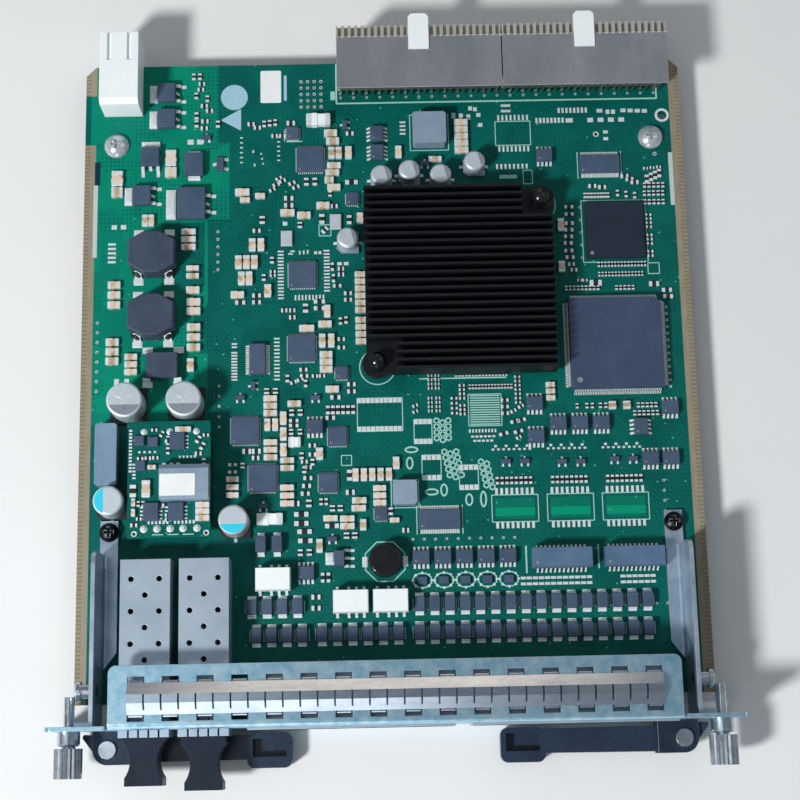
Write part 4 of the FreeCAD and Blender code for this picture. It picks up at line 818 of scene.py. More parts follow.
capacitor_rows = {
    0: [
        (-16.4, 178.8, 4, 2.2, 2, 0.6, -2.6), (-15.5, 168.3, 4.2, 1.9, 2, -0.5, -2.3),
        (-15.6, 161.3, 4, 2), (-17, 163.7, 2.8, 1.9), (23.7, 181.6, 4.2, 2, 5, 0, -2.25),
        (15.5, 169.8, 4, 1.7), (-43.5, 160.2, 4.4, 2.2), (-38.1, 158.9, 3, 1.7),
        (-42.7, 157.7, 3, 1.5), (-65.3, 167, 3.5, 3.2), (-81.6, 160.9, 3.4, 3.2),
        (-59.8, 147.9, 4.4, 1.8, 3, 0, -2.4), (-58.5, 136.4, 3.8, 1.5, 2, 0, -2.4),
        (-58.4, 129.5, 4, 2.2), (-58.2, 125.8, 4.2, 2.3, 2, 0, -2.8), (-58.1, 118, 4, 2.2, 3, 0, -3.1),
        (-82, 131.5, 3.8, 2.2, 3, 0, -3.1), (-82.3, 113.8, 3.9, 2.2, 3, 0, -2.9),
        (-76.7, 109.2, 3.8, 1.8, 3, 0, -2.3), (-45, 127.8, 4, 2.1), (-29.8, 153.4, 4.3, 2.1),
        (-24.8, 152.5, 4.1, 2.1), (-19, 155.5, 4, 2.1), (-18.8, 118.2, 4, 2), (-24.3, 117, 4.5, 2),
        (-18.6, 108.8, 3.8, 2, 3, 0, -2.25), (-8, 133.5, 3.4, 1.7, 6, 0, -2.22),
        (-8, 119.3, 3.4, 1.7, 4, 0, -2.2), (-35.3, 95.7, 4, 1.8, 3, 0, -2.2),
        (-35.3, 82.5, 4, 1.7, 3, 0, -2.25), (-30.4, 77, 4, 1.6, 2, 0, -2.25),
        (-30.5, 68.9, 4.1, 1.7, 3, 0, -2.35), (-46.5, 71.7, 3.7, 1.6, 3, 0, -2.35),
        (-16.9, 98.2, 4, 2), (-28.2, 94, 4, 1.8), (-3.4, 68.2, 3.8, 1.7, 3, 0, -2.15),
        (-9.4, 64.7, 4.2, 1.8, 2, -0.2, -2.3), (-17.9, 59.6, 4.2, 1.7),
        (-13, 59.4, 4.2, 1.8, 2, 0, -2.2), (0.8, 58.7, 2.8, 1.4), (47.9, 98.3, 2.7, 1.5, 3, 0, -2),
    ],
    90: [
        (-16.2, 172.4, 3.7, 1.9, 2, 2.2), (-11, 172.4, 4, 2), (4.3, 172.3, 4, 1.9),
        (-65.3, 171.6, 5.2, 3.2), (-81.6, 165.3, 4.8, 3.4), (-73, 151.7, 3.7, 1.7, 2, 1.9),
        (-59, 106.4, 4, 2), (-40.5, 143.4, 4, 2, 2, 2.6), (-44.7, 138, 4.2, 2, 3, 2.4),
        (-43.8, 132.9, 4.2, 2, 2, 2.3), (-35.9, 128.9, 4, 2.1), (-7.8, 151.2, 3.6, 1.9),
        (-18.1, 122.2, 3.8, 1.9), (-19.7, 113.1, 4.2, 1.9, 2, 2.7), (53.2, 148, 4, 1.9),
        (52.9, 134.8, 3.4, 1.9), (-36.2, 87.8, 3.7, 1.7, 2, 2.3), (-31.5, 89.7, 4, 1.9, 3, 0, -4.75),
        (-20.9, 78.8, 3.6, 2.1), (-10.4, 72.3, 3.8, 1.8, 5, 2.45), (1.6, 75.6, 3.7, 1.9),
        (-8.4, 57.5, 3.3, 1.8), (-21.2, 51.6, 4, 1.8), (66.1, 91.7, 2.4, 2.1), (70.4, 91.7, 2.4, 2.1),
    ],
}
strewn("ceramic_capacitors", capacitor, turned_rows(capacitor_rows, capacitor_height))

resistor_rows = {
    0: [
        (-56, 195.9, 2, 1.1, 2, -0.3, -1.9), (-55.2, 188.6, 2.2, 1.2, 2, 1.6, -1.6),
        (-55, 183.6, 2.2, 1.2, 2, -0.2, -2.3), (-40.8, 182.4, 2.2, 1.2, 2, 1.9, -1.2),
        (-33.6, 178.4, 2, 1.1, 2, 2.4), (-10.5, 178.8, 2.4, 1.2), (-28.6, 182.5, 2.6, 1.4),
        (-10.2, 163, 3.8, 1.3), (-29.4, 158.2, 2.8, 1.4, 2, 0, -2.3), (-39.2, 148, 2.4, 1.2),
        (-44.2, 125.5, 3, 1.2), (-39.3, 127.6, 2.6, 1.2, 2, 0, -2.1), (-15.6, 155.4, 2.2, 1.2),
        (-13.8, 135.5, 1.9, 1.2, 2, 0, -1.8), (-15, 130.2, 2.6, 1), (-11.8, 127.8, 2.4, 1.1, 2, 0, -2),
        (-20.4, 125.4, 3.4, 1.2, 2, 0, -2.1), (-31, 122.8, 1.8, 1.2, 2, 2.4), (-28.6, 120.6, 1.9, 1.3),
        (-14, 111, 2.2, 1.1, 2, 0, 2.6), (55.9, 153.8, 2.7, 1, 2, 0, -2.3),
        (55.8, 148.6, 2.7, 1.1, 4, -0.2, -2.1), (55.3, 139.9, 2.7, 1.1, 2, 0.3, -2.1),
        (55.9, 135.6, 2, 1.1, 2, 0.7, -1.8), (80, 150.9, 1.9, 0.7, 4, 0, -1.3),
        (80, 144.4, 1.9, 0.8, 3, 0, -1.35), (80, 139.2, 1.9, 0.8, 2, 0, -1.3),
        (58.2, 130.5, 1.5, 0.8, 2, 1.6), (63, 129.6, 3.6, 1.8), (80.6, 129, 3, 1.5),
        (84.4, 127, 3, 1.2, 2, 0.2, -2), (63.4, 160.4, 2.4, 1.2, 2, 3, -0.4),
        (73.4, 163.4, 2.4, 1.2, 3, 1.5, -1), (-42.3, 80, 2.6, 1.5, 2, 2.8), (-39.7, 78, 2.2, 1.3),
        (-11.2, 99.7, 2.5, 1.2, 2, 0, -2.2), (-16, 95.8, 3, 1.3), (-28.4, 89, 2.8, 1, 2, 0, -1.5),
        (-17.6, 89.6, 2.8, 1.2), (-23, 81.4, 2.2, 1.2, 2, 0, -2.7),
        (-24.4, 71.7, 2.6, 1.2, 3, -0.4, -2.3), (-26.4, 61, 4.2, 1.4, 2, 0, -2.7),
        (-25.5, 55.9, 4.2, 1.3, 2, 0.2, -2.7), (-17.5, 57.4, 4, 1.3), (-28, 64.2, 2.2, 1.6),
        (4, 55.7, 2, 1.4), (-12, 67.2, 2.6, 1.5), (-22.4, 36.8, 2.6, 1.4, 2, 0, -3.2),
        (34.2, 94, 2.4, 1, 3, 0, -2), (38.2, 101, 1.8, 0.7, 7, 0, -1.3),
        (12.2, 101.9, 1.4, 0.8, 4, 0, -1.3), (14.3, 101.9, 1.4, 0.8, 4, 0, -1.3),
        (12.1, 95, 1.4, 0.8, 4, 0, -1.3), (14.4, 95, 1.4, 0.8, 4, 0, -1.3),
        (19.2, 94.8, 2, 0.7, 4, 0, -1.5), (21.6, 98.7, 1.8, 0.8, 4, 0, -1.3),
        (21.6, 92.6, 1.8, 0.8, 3, 0, -1.3), (-34.4, 133.8, 1.8, 0.9, 2, 0, 1.2),
        (-25.4, 104.4, 2.4, 1.1, 2, 0.2, -1.9), (-22, 102.4, 1.8, 1, 2, 2.1),
        (-25.4, 76.6, 2, 1.1, 2, 1.2, -1.7), (80, 165.8, 1.4, 0.8, 3, 2, 0.2),
    ],
    15: [(37, 87.5, 2.6, 1, 2, 2, 0.3), (33.6, 83.8, 2.8, 1, 2, 4.4, 0.6)],
    20: [
        (-33.2, 162.6, 2.2, 1.1, 2, 1.9, 1.2), (-28.4, 163, 2.2, 1.1, 2, 1.2, -1.3),
        (7.6, 92.8, 1.7, 0.9, 2, 0, -1.8), (-28.4, 100.6, 2, 1, 2, 2, 0.8),
    ],
    25: [
        (36.7, 90.6, 1.8, 1, 2, 2.3, 1.4), (38, 82.6, 1.6, 1), (-34.4, 161, 2, 1, 2, 2, 3.6),
    ],
    45: [(-18.5, 147.8, 2.2, 1.4)],
    90: [
        (-58.5, 198.3, 2, 1.1, 2, 1.9), (-57.7, 192, 2, 1.1, 2, 3.4, -1),
        (-57.6, 185.4, 2.2, 1.2, 2, 0, -2.6), (-51, 182.6, 2.2, 1.2),
        (-36.8, 182.4, 2, 1.1, 3, 1.7, 0.2), (-24, 163.4, 2.4, 1.4, 2, 2.6), (-37.5, 151.4, 2.4, 1.6),
        (-37.1, 133.2, 2, 1.1), (-26.1, 149.6, 1.8, 1.4), (-19.4, 151.4, 3, 1.6),
        (-11.1, 151, 2.8, 1.4), (-16.4, 136.2, 2.6, 0.9, 2, 0.3, -3.6), (-24.6, 123.4, 2.7, 1.6),
        (-14.2, 119.2, 2.2, 1, 2, 1.7, 0.3), (64.2, 135.4, 1.6, 0.6, 15, 1),
        (64.2, 132.3, 1.4, 0.6, 14, 1), (54, 128.1, 1.4, 0.8, 9, 1.2), (69.2, 128, 1.4, 0.8, 5, 1.25),
        (61, 157.4, 1.6, 0.9, 8, 1), (71, 158, 2, 0.9, 3, 2.6, -0.4), (79.2, 157.8, 1.6, 0.9, 5, 1.4),
        (79.2, 155, 1.6, 0.9, 5, 1.4), (80.2, 162.4, 2.6, 1.2, 4, 1.3, 0.6),
        (-36.4, 98.1, 1.7, 1.5, 2, 2.6), (-43.6, 75.8, 1.6, 1.2), (-29, 91.4, 1.9, 1.4, 2, 2.5),
        (-29.2, 85.6, 1.7, 1.3, 2, 2.6), (-18.3, 92, 2.6, 1.1, 6, 1.5),
        (-26.2, 78.4, 2, 1.2, 2, 0.8, -4.2), (-17.3, 62.6, 1.8, 1.5, 2, 2.3),
        (-26.8, 49.8, 1.9, 1.4, 2, 2.6), (-13.3, 54.5, 1.8, 1.6, 2, 2.4), (-24.2, 64.2, 2.2, 1.6),
        (-0.3, 61.4, 2.2, 1.3), (-12.2, 72.3, 3.2, 1.4), (-20.4, 42.4, 2.8, 1, 2, 1.7),
        (55.7, 91.8, 1.5, 0.9), (58.6, 91.8, 1.6, 0.9, 2, 1.6), (62.6, 91.8, 1.6, 0.9, 2, 1.6),
        (73.9, 91.7, 1.5, 0.9, 5, 1.3), (72.7, 89.3, 1.5, 0.9, 6, 1.35), (12, 103.2, 1.3, 0.7),
        (24, 98.2, 1.4, 0.7, 14, 0.95), (20, 102, 1.2, 0.7, 16, 1), (-16.8, 159.4, 1.8, 1),
        (-34.6, 138.6, 2, 1.2), (-30.2, 101.8, 2.2, 1.1), (-24.8, 100.2, 2.2, 1), (-23, 76.4, 2, 1.1),
        (-20.6, 64.6, 2, 1, 2, 1.5), (79.4, 160.4, 1.6, 0.9, 5, 1.4), (31.2, 69.8, 2.2, 0.9, 8, 1.4),
        (47.5, 69.8, 2.2, 0.9, 8, 1.4), (63.7, 69.8, 2.2, 0.9, 8, 1.4),
    ],
}
strewn("chip_resistors", resistor, turned_rows(resistor_rows, resistor_height))
beads = [at(-20.1, 183.0, board_top, 7.4, 3.8, 2.2), at(-35.6, 59.7, board_top, 7.6, 3.4, 1.6),
         at(-28.2, 82.4, board_top, 3.6, 3.0, 1.4)]
strewn("ferrite_beads", bead, beads)

# Bare pads: x, y, wide, deep, and for rows of several also count, step x, step y
pad_rows = [
    (35.4, 183.2, 0.6, 1.8, 8, 1.27), (35.4, 173, 0.6, 1.8, 8, 1.27),
    (37.8, 187.2, 3, 0.8, 2, 0, -1.8), (54.2, 185.3, 0.7, 1.7, 8, 1.2),
    (47.2, 182.1, 0.7, 1.7, 8, 1.15), (57.3, 182, 2.2, 1.4), (63.8, 182, 1.8, 1.4, 4, 3.2),
    (66.8, 185, 1.8, 1.2), (69.3, 184.6, 1.2, 1.4, 2, 1.7), (74.1, 185, 1.6, 1.2, 4, 2.2, -0.1),
    (68.3, 178, 1.5, 1, 2, 0, -2.2), (34.5, 167.3, 0.6, 1.6, 8, 1.3), (-59.4, 177, 1.9, 1.6, 2, 2.9),
    (5.8, 182.3, 1.8, 0.6, 4, 0, -1.25), (26.8, 186.5, 1.2, 1.3, 2, 1.5, -0.3),
    (29.3, 184.3, 1.3, 1.2, 2, 0.5, -3.3), (21.6, 184.2, 1.2, 1.8, 3, 2.3, -0.3),
    (-83, 144.6, 2.4, 0.7, 5, 0, -1.4), (-82.4, 150, 1.6, 1.4, 2, 2.8),
    (-32, 141.4, 1.8, 0.5, 15, 0, -1.05), (-18.1, 141.4, 1.8, 0.5, 13, 0, -1.05),
    (-27.6, 126.8, 0.5, 1.6, 9, 1.05), (-14.2, 137.2, 1.4, 1, 2, 2), (-30.6, 150.2, 1.4, 1.2),
    (37.8, 41.1, 1.5, 0.8, 12, 1.75), (37.8, 39.4, 1.5, 0.8, 12, 1.75),
    (66.8, 41.1, 1.5, 0.8, 6, 1.75), (66.8, 39.4, 1.5, 0.8, 6, 1.75), (-8.1, 46.7, 1.5, 3, 2, 11.8),
    (-47.4, 76.2, 0.9, 0.9, 2, 1.7), (-47.4, 74, 0.9, 0.9, 2, 1.7), (-81, 101.6, 1.4, 2.2, 2, 3),
    (-9, 94.7, 1.18, 1.5, 10, 1.33), (-9, 86.1, 1.18, 1.5, 10, 1.33), (7.8, 88, 1.18, 1.5, 4, 1.3),
    (7.8, 82.1, 1.18, 1.5, 4, 1.3), (9.9, 77.2, 1.18, 1.5, 4, 1.4), (9.9, 71.2, 1.18, 1.5, 4, 1.4),
    (20.8, 74, 1.18, 1.5, 4, 1.4), (20.8, 68.1, 1.18, 1.5, 4, 1.4),
    (-43.8, 178.1, 0.9, 0.4, 6, 0, -1.6), (-32.4, 178.1, 0.9, 0.4, 6, 0, -1.5),
    (-40.2, 173.6, 0.5, 0.9, 2, 0.4, -4.4), (-37.8, 172.8, 0.5, 0.5, 3, 0.3, -1.6),
    (-29, 140.6, 1.4, 0.5, 2, 0.6, 0.8), (-26.2, 140.9, 0.5, 1.2, 3, 1.2, 0.1),
    (-21.4, 140.8, 0.9, 0.9, 2, 1.3), (-46, 110.1, 1.8, 0.5, 10, 0, -0.92),
    (-46, 112.8, 1.6, 0.5, 2, 0, -1), (-33.3, 114.2, 1.7, 0.5, 12, 0, -1.14),
    (23.6, 84.9, 0.5, 1, 9, 0.95), (24.4, 83.2, 0.9, 0.6, 6, 1.25), (25, 81.9, 0.9, 0.6, 5, 1.25),
]
for x in (30.9, 47.2, 63.4):
    pad_rows += [(x, 66.7, 0.8, 1.9, 8, 1.5), (x, 56.7, 0.8, 2.0, 8, 1.5)]
    for index in range(4):
        corner = x + 0.2 + index * 3.1
        pad_rows += [(corner - 0.8, 79.2, 0.8, 0.6, 2, 1.6), (corner, 80.2, 0.8, 0.7)]
places = rows(pad_rows, pad_height)
array_spots = stepped(8.5, 41.0, 5, 6.3)
for x, y in array_spots:
    for step in range(8):
        turn = math.radians(45 * step)
        across = 2.75 * math.cos(turn)
        along = 2.2 * math.sin(turn)
        places.append(at(x + across, y + along, board_top, 0.7, 0.7, hole_height))
strewn("bare_pads", pad, places)

# Plated holes: x, y, across, and for rows of several also count, step x, step y
hole_rows = [(-25.4 + 2.05 * column, 196.2, 1.0, 5, 0, -2.1) for column in range(4)]
hole_rows += [
    (83.9, 97.2, 0.8, 13, 0, 2.05), (59.4, 153.7, 0.9, 5, 0, -4), (65.3, 177.3, 1.8),
    (83.1, 170.6, 1.2), (-13.2, 190.6, 0.8, 25, 4.04), (-13.2, 192, 0.8, 25, 4.04),
    (-51, 148, 0.9, 6, 0, -2.4), (-87, 120, 0.9, 8, 0, -3), (-50.5, 100, 0.8, 5, 0, -3.1),
    (57, 33, 0.8, 8, 3.2), (6, 53, 0.8, 10, 3.3), (80.2, 60, 0.8, 4, 0, 3),
]
places = rows([(x, y, across, across, *run) for x, y, across, *run in hole_rows], hole_height)
strewn("plated_holes", ring, places)

# Small three-legged packages: x, y, and where they aren't usual also turn and size
small_packages = [
    (34, 75.5), (39.5, 75.5), (50.5, 75.1), (56, 75.1), (66, 75.6), (71.5, 75.6), (-37.5, 63.6),
    (-40.4, 99.7, 90), (-44.2, 96.2), (-54.6, 178.2), (-17.4, 53.6), (-12, 181.6, 90), (12.3, 168.6),
    (-21.9, 95.8), (-50.2, 169.5, 90, 1.6),
]
bodies = []
legs = []


def small_package(x, y, turn=0, size=1.0):
    """Adds the places of a body and its three legs."""
    bodies.append(at(x, y, board_top, 2.9 * size, 1.5 * size, 1.1, turn))
    for across, along, way in ((-0.95, -1.5, 0), (0.95, -1.5, 0), (0.0, 1.5, 180)):
        foot = at(across * size, along * size, 0, 0.6 * size, 0.85 * size, 0.6, way)
        legs.append(at(x, y, board_top, turn=turn) @ foot)


for place in small_packages:
    small_package(*place)
bodies += [at(*spot, board_top, 2.8, 2.4, 0.9) for spot in array_spots]
strewn("small_packages", small_body, bodies)
strewn("small_package_leads", lead, legs)

# Printed legend: frames as x0, x1, y0, y1, then strokes that are set like the pads
frames = [
    (34.3, 45.1, 174.2, 182), (59.7, 79.3, 136.2, 155.8), (-20.3, -16.7, 146.1, 149.6),
    (79.1, 82.5, 132.3, 135.7), (-14.5, -11.5, 75.3, 78.3), (-9.6, 3.8, 85.4, 95.4),
    (7.1, 12.4, 81.4, 88.7), (9.2, 14.8, 70.5, 77.9), (20.1, 25.7, 67.4, 74.7), (23.4, 33.2, 86.4, 96),
    (29.4, 43, 57.6, 65.6), (45.7, 59.3, 57.6, 65.6), (61.9, 75.5, 57.6, 65.6),
    (42.4, 45.2, 161.6, 166), (8, 19.8, 173, 184.6), (0, 8, 62.4, 70.6),
]
strokes = [
    (35, 188.8, 99, 0.5), (-14.5, 195.4, 0.5, 13), (84.6, 191, 0.5, 4.8), (-15.6, 191.4, 1.4, 2.8),
    (37.8, 164, 5.4, 1.2), (22, 101, 26, 0.4), (60, 47, 0.4, 7), (38.9, 46.5, 0.5, 8),
    (7.3, 58.7, 0.3, 8.6), (20.7, 58.7, 0.3, 8.6), (59.2, 167.3, 0.3, 8.6), (72.6, 167.3, 0.3, 8.6),
    (-27.6, 176.6, 5, 0.3), (-30.6, 178.6, 0.3, 3.8), (28.3, 86.9, 8.8, 0.38, 13, 0, 0.72),
]
for x0, x1, y0, y1 in frames:
    strokes += [((x0 + x1) / 2, y, x1 - x0, 0.28) for y in (y0, y1)]
    strokes += [(x, (y0 + y1) / 2, 0.28, y1 - y0) for x in (x0, x1)]
for lo, hi in solids("line_diodes"):
    strokes += [(lo.x - 0.3, (lo.y + hi.y) / 2, 0.25, 3.4), (hi.x + 0.3, (lo.y + hi.y) / 2, 0.25, 3.4)]
places = rows(strokes, ink_height)
places += rows([(-67.4, 55, 3.2, 0.3, 3, 4.4)], ink_height, converter_top)
rings = [hoop("sink_ring", -3.35, 104.85, board_top, 5.5, 0.35),
         hoop("sink_ring", 46.55, 154.75, board_top, 5.5, 0.35),
         hoop("choke_ring", -2.2, 46.7, board_top, 6.4, 0.35, 8, 22.5)]
rings += [hoop("array_ring", *spot, board_top, 3.0, 0.35, 8, 22.5, 0.8) for spot in array_spots]
for x, y, wide, stretch in [(5.6, 75.6, 1.15, 1.7), (6.2, 79.6, 2.1, 0.5), (11.9, 66.9, 2.1, 0.52),
                            (15.5, 67.4, 1.15, 1.7), (22.8, 64.4, 1.2, 1.6), (27.0, 64.5, 1.05, 2.4)]:
    rings.append(hoop("oval_ring", x, y, board_top, wide, 0.5, 12, 15.0, stretch))
cell_arrays = [(13.8, 88.2, 3, 4, 0.0), (15.9, 78.8, 3, 5, 0.35), (26.6, 75.6, 2, 5, 0.35)]
cell_pitch = 1.75
for x0, y0, columns, row_count, lean in cell_arrays:
    for index in range(columns * row_count):
        row, column = divmod(index, columns)
        x = x0 + column * cell_pitch + row * lean
        y = y0 - row * cell_pitch - column % 2 * 0.6
        rings.append(hoop("array_cell", x, y, board_top, 1.05, 0.42, 6))
for piece in rings:
    finished(piece, legend)
joined("printed_legend", copies(stroke, places) + rings)
blue_marks = []
for name, y, sides, turn in [("blue_disc", 191.4, 48, 0.0), ("blue_patch", 184.0, 3, 90.0)]:
    piece = disc(name, -46.0, y, board_top, 4.15, sides, turn)
    push(0, 0, ink_height)
    settled(piece)
    blue_marks.append(finished(eased(piece, 0.3, upright), pale_blue))
joined("blue_marks", blue_marks)
tooling = finished(hoop("tooling_ring", 86.0, 183.2, board_top, 2.2, 0.75, 32), solder)
joined("tooling_ring", [tooling])

# Marks on the cans, then the pin-one dots of the chips
marks = []
for lo, hi in solids("large_capacitors"):
    middle = (lo + hi) / 2
    marks.append(finished(segment("can_mark", middle.x, middle.y, hi.z, 4.6, 1.5, -90), grey_ink))
    for turn in (55, 175, 295):
        x, y = middle.xy
        score = block("can_score", x - 0.1, x + 0.1, y + 0.4, y + 3.0, hi.z, hi.z + mark_height)
        pick(score, everything)
        bpy.ops.transform.rotate(value=math.radians(turn), orient_axis="Z",
                                 center_override=middle.xy.to_3d() * MM)
        settled(score)
        marks.append(finished(eased(score, 0.01), score_metal))
for lo, hi in solids("polymer_capacitors"):
    middle = (lo + hi) / 2
    turn = 180 if middle.x < -60 else -90
    marks.append(finished(segment("can_mark", middle.x, middle.y, hi.z, 3.9, 1.3, turn), cyan_ink))
for lo, hi in solids("small_capacitors"):
    middle = (lo + hi) / 2
    marks.append(finished(segment("can_mark", middle.x, middle.y, hi.z, 2.7, 1.5, 15), grey_ink))
joined("can_marks", marks)
dots = []
for name, inset, across in [("quad_chip", 2.6, 1.7), ("memory_chip", 1.7, 1.1), ("flash_chips", 1.0, 0.7),
                            ("outline_chips", 0.95, 0.6), ("leadless_chips", 0.95, 0.6),
                            ("line_transformers", 1.4, 0.9)]:
    for lo, hi in solids(name):
        dots.append(at(lo.x + inset, lo.y + inset, hi.z, across, across, mark_height))
pin_dots = copies(ring, dots)
for piece in pin_dots:
    finished(piece, grey_ink)
joined("pin_one_dots", pin_dots)

# Blank labels
labels = []
for name, x0, x1, y0, y1, z, paint in [("board_label", -37.9, -31.5, 189.4, 200.0, board_top, paper),
                                       ("board_label_bar", -30.7, -29.8, 190.0, 198.4, board_top, pale_blue),
                                       ("converter_label", -66.3, -56.1, 65.4, 71.8,
                                        solids("converter_transformer")[0][1].z, paper)]:
    piece = block(name, x0, x1, y0, y1, z, z + label_height)
    labels.append(finished(eased(piece, 0.4, upright, 3), paint))
joined("blank_labels", labels)

# Small parts on the converter's own board
posts = [(x, 56.7, 2.2) for x in (-71.4, -67.6, -63.8, -60.1, -56.1)]
posts += [(x, 85.1, 2.0) for x in (-71.6, -64.1, -56.4)]
post_places = [at(x, y, converter_top, size, size, solder_height) for x, y, size in posts]
strewn("converter_posts", fillet, post_places)
module_capacitors = {
    0: [(-54.5, 63.3, 4, 1.7, 3, 0, -1.9), (-60.2, 85.6, 4.6, 1.5), (-69.2, 74.6, 2.4, 1.2)],
    90: [(-70.8, 68.3, 5, 2.4), (-74.4, 61.4, 2.2, 1.1, 2, 0, 3)],
}
places = turned_rows(module_capacitors, module_capacitor_height, converter_top)
strewn("converter_capacitors", capacitor, places)
module_resistors = {
    0: [
        (-64.4, 82.2, 2.2, 1.1), (-66.6, 63.4, 2.2, 1.1, 2, 3.6), (-74.2, 57.8, 2, 1.1),
        (-55.8, 78.4, 2, 1.1), (-72.6, 77.2, 1.8, 1, 3, 2.2, 0.1), (-64.4, 60.6, 1.8, 0.9, 2, 0, -1.4),
        (-53.6, 83.8, 1.8, 0.9), (-68.6, 85.6, 1.8, 0.9), (-72.8, 59.6, 1.6, 0.9),
    ],
    60: [(-55.8, 82.6, 2.2, 1.1, 2, 1.2, -2), (-66.4, 84.4, 1.8, 0.9)],
    90: [
        (-74.6, 67.8, 3.6, 1.8), (-65.6, 74.8, 2, 1.1, 3, 2), (-54.2, 76, 2, 1.1), (-64.6, 79.4, 2, 1),
        (-71.6, 64, 1.6, 0.9, 2, -1.4),
    ],
}
strewn("converter_resistors", resistor, turned_rows(module_resistors, resistor_height, converter_top))
module_pads = [
    (-75.5, 73.6, 0.9, 0.55, 13, 0, 1), (-74.4, 75.6, 1, 0.5, 5, 0, -1), (-61.2, 77.6, 0.6, 0.7, 5, 1.1),
    (-70, 58.6, 0.6, 1, 6, 1.08), (-62.44, 58.6, 0.6, 1, 6, 1.08), (-72.9, 79.2, 0.7, 0.6, 4, 1.5),
]
places = rows(module_pads, 0.1, converter_top)
for lo, hi in solids("converter_chips"):
    if hi.x - lo.x > 4:
        sides = [(x, lo.y + 0.8, 1.0, 0.5, 4, 0, 1.1) for x in (lo.x - 0.4, hi.x + 0.4)]
        places += rows(sides, 0.2, converter_top)
strewn("converter_pads", pad, places)
corner_holes = [at(x, 55.3, converter_top, 1.7, 1.7, 0.1) for x in (-74.2, -53.5)]
strewn("converter_corner_holes", ring, corner_holes)

# Spring wires of the jacks
wires = []
port_middles = []
jack_side = 0.9
port_roof = 5.9
ports = 4
port_wires = 8
wire_pitch = 1.02
for name in ("jack_shell_left", "jack_shell_right"):
    lo, hi = node_box(name)
    pitch = (hi.x - lo.x - 2 * jack_side) / ports
    for port in range(ports):
        middle = lo.x + jack_side + pitch * (port + 0.5)
        port_middles.append(middle)
        wires += [at(middle + (index - 3.5) * wire_pitch, 0, port_roof) for index in range(port_wires)]
strewn("jack_wires", wire, wires)

# Contact holes in the mating faces and the row of sprung tabs behind the covers
contact_pitch = 2.0
tab_offset = 1.0
contact_columns = []
for name in ("plane_housing_left", "plane_housing_right"):
    lo, hi = node_box(name)
    contact_columns += [(lo.x + hi.x) / 2 + (column - 12) * contact_pitch for column in range(25)]
keys = solids("coding_keys")
holes = [at(x, hi.y, board_top + row * contact_pitch, 1.4, 1.0, 1.4)
         for x in contact_columns for row in range(5)]
tabs = [at(x + tab_offset, 204.9, hi.z, 0.9, 0.9, 0.35) for x in contact_columns
        if not any(low.x - 0.5 < x + tab_offset < high.x + 0.5 for low, high in keys)]
strewn("contact_holes", contact_hole, holes)
strewn("cover_tabs", fillet, tabs)

# Curled noses of the spring strip's hooks, which dip into the slots of the flange
strip_middle = 8.3
slot_pitch = 9.525
slot_count = 16
nose = block("nose_pattern", -1.95, 1.95, -4.35, -4.25, 12.72, 13.0)
pick(nose, lambda middle, normal: normal.y < -0.9)
for y, z in [(-0.26, -0.05), (-0.22, -0.2), (-0.14, -0.3), (0.0, -0.4), (0.1, -0.35)]:
    push(0, y, z)
    mesh = bmesh.from_edit_mesh(nose.data)
    centre = next(face for face in mesh.faces if face.select).calc_center_median()
    bpy.ops.transform.rotate(value=math.radians(-24), orient_axis="X", center_override=centre)
settled(nose)
finished(nose, bright_spring)
noses = [at((index - (slot_count - 1) / 2) * slot_pitch, strip_middle, 0, turn=turn)
         for index in range(slot_count) for turn in (0, 180)]
strewn("strip_hook_noses", nose, noses)
bpy.data.objects.remove(nose)

# Solder under the board
points = [(x, 193.6 + row * 1.9, 1.0) for x in contact_columns for row in range(4)]
for middle in port_middles:
    points += [(middle + (index - 3.5) * 1.27, 9.4 + index % 2 * 2.5, 1.4) for index in range(port_wires)]
for name in ("module_cage_left", "module_cage_right"):
    lo, hi = node_box(name)
    points += [(x, 8.0 + index * 8.4, 1.5) for x in (lo.x + 0.9, hi.x - 0.9) for index in range(5)]
lo, hi = node_box("power_connector")
middle = (lo.x + hi.x) / 2
points += [(middle + across, lo.y + along, 2.4) for across in (-2.8, 2.8) for along in (3.0, 8.0)]
points += [(x, y, 1.8) for x, y, size in posts]
drops = [under(x, y, size, size, solder_height) for x, y, size in points]
strewn("solder_side", fillet, drops)

# Capacitors under the processor
lo, hi = node_box("processor")
middle = (lo + hi) / 2
places = []
reach = 3
pitch = 4.1
for row in range(-reach, reach + 1):
    for column in range(-reach, reach + 1):
        if max(abs(row), abs(column)) > 1:
            x = middle.x + column * pitch
            y = middle.y + row * pitch
            places.append(under(x, y, 2.1, 1.25, 0.9, 90 * ((row + reach) % 2)))
strewn("underside_capacitors", capacitor, places)

for pattern in patterns:
    bpy.data.objects.remove(pattern)

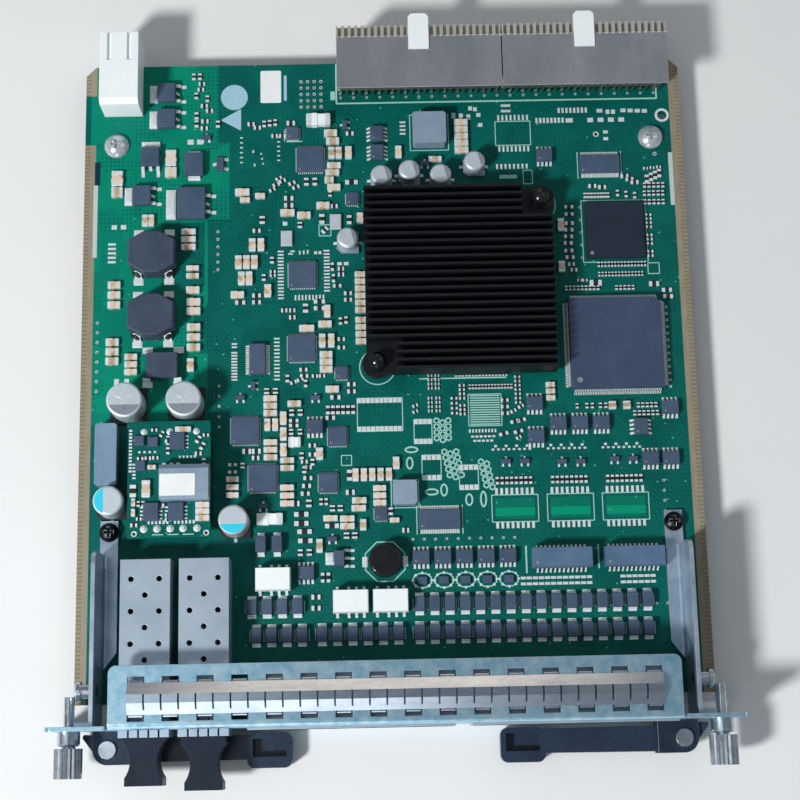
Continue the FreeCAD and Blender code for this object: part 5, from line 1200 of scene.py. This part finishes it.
# Floor, light and camera
bpy.ops.object.select_all(action="DESELECT")
bpy.ops.mesh.primitive_plane_add(size=4.0, location=(0, 0.1, cad_box[0][2]))
floor = bpy.context.object
floor.name = "studio_floor"
floor_finish = Finish("studio_floor_paper")
floor_tone = floor_finish.noise(60.0, 2.0)
floor_colour = floor_finish.mix(floor_tone, tone(226, 228, 230), tone(232, 234, 235))
floor_finish.set(Base_Color=floor_colour, Roughness=0.9)
floor.data.materials.append(floor_finish.material)


def lamp(name, place, target, size, power, colour):
    """Soft lamp that faces a point."""
    data = bpy.data.lights.new(name, "AREA")
    data.shape = "DISK"
    data.size = size
    data.energy = power
    data.color = colour
    made = bpy.data.objects.new(name, data)
    made.location = place
    made.rotation_euler = (Vector(target) - Vector(place)).to_track_quat("-Z", "Y").to_euler()
    bpy.context.collection.objects.link(made)


lamp("key_lamp", (-0.62, -0.40, 0.74), (0, 0.1, 0), 0.17, 11.7, (1.0, 0.99, 0.97))
lamp("front_card", (-0.12, -0.62, 0.20), (0, 0.0, 0), 0.35, 0.5, (1.0, 1.0, 1.0))
lamp("back_card", (0.0, 0.76, 0.22), (0, 0.0, 0), 0.35, 0.34, (1.0, 0.77, 0.58))
lamp("ceiling_card", (-0.3, 0.05, 0.95), (0, 0.05, 0), 0.3, 0.22, (0.86, 0.95, 1.0))
lamp("fill_lamp", (0.5, 0.35, 0.6), (0, 0.1, 0), 0.6, 0.5, (0.9, 0.95, 1.0))
world = bpy.data.worlds.new("studio")
world.use_nodes = True
world.node_tree.nodes["Background"].inputs["Color"].default_value = (0.86, 0.93, 1.0, 1.0)
world.node_tree.nodes["Background"].inputs["Strength"].default_value = 0.22
bpy.context.scene.world = world
bpy.context.scene.view_settings.view_transform = "Standard"

lens = bpy.data.cameras.new("photo_camera")
lens.lens = 72.9
lens.sensor_width = 36.0
camera = bpy.data.objects.new("photo_camera", lens)
camera.location = (-0.0029, -0.0070, 0.4651)
camera.rotation_mode = "ZYX"
camera.rotation_euler = (math.radians(12.2), math.radians(-0.72), math.radians(-1.11))
bpy.context.collection.objects.link(camera)
bpy.context.scene.camera = camera
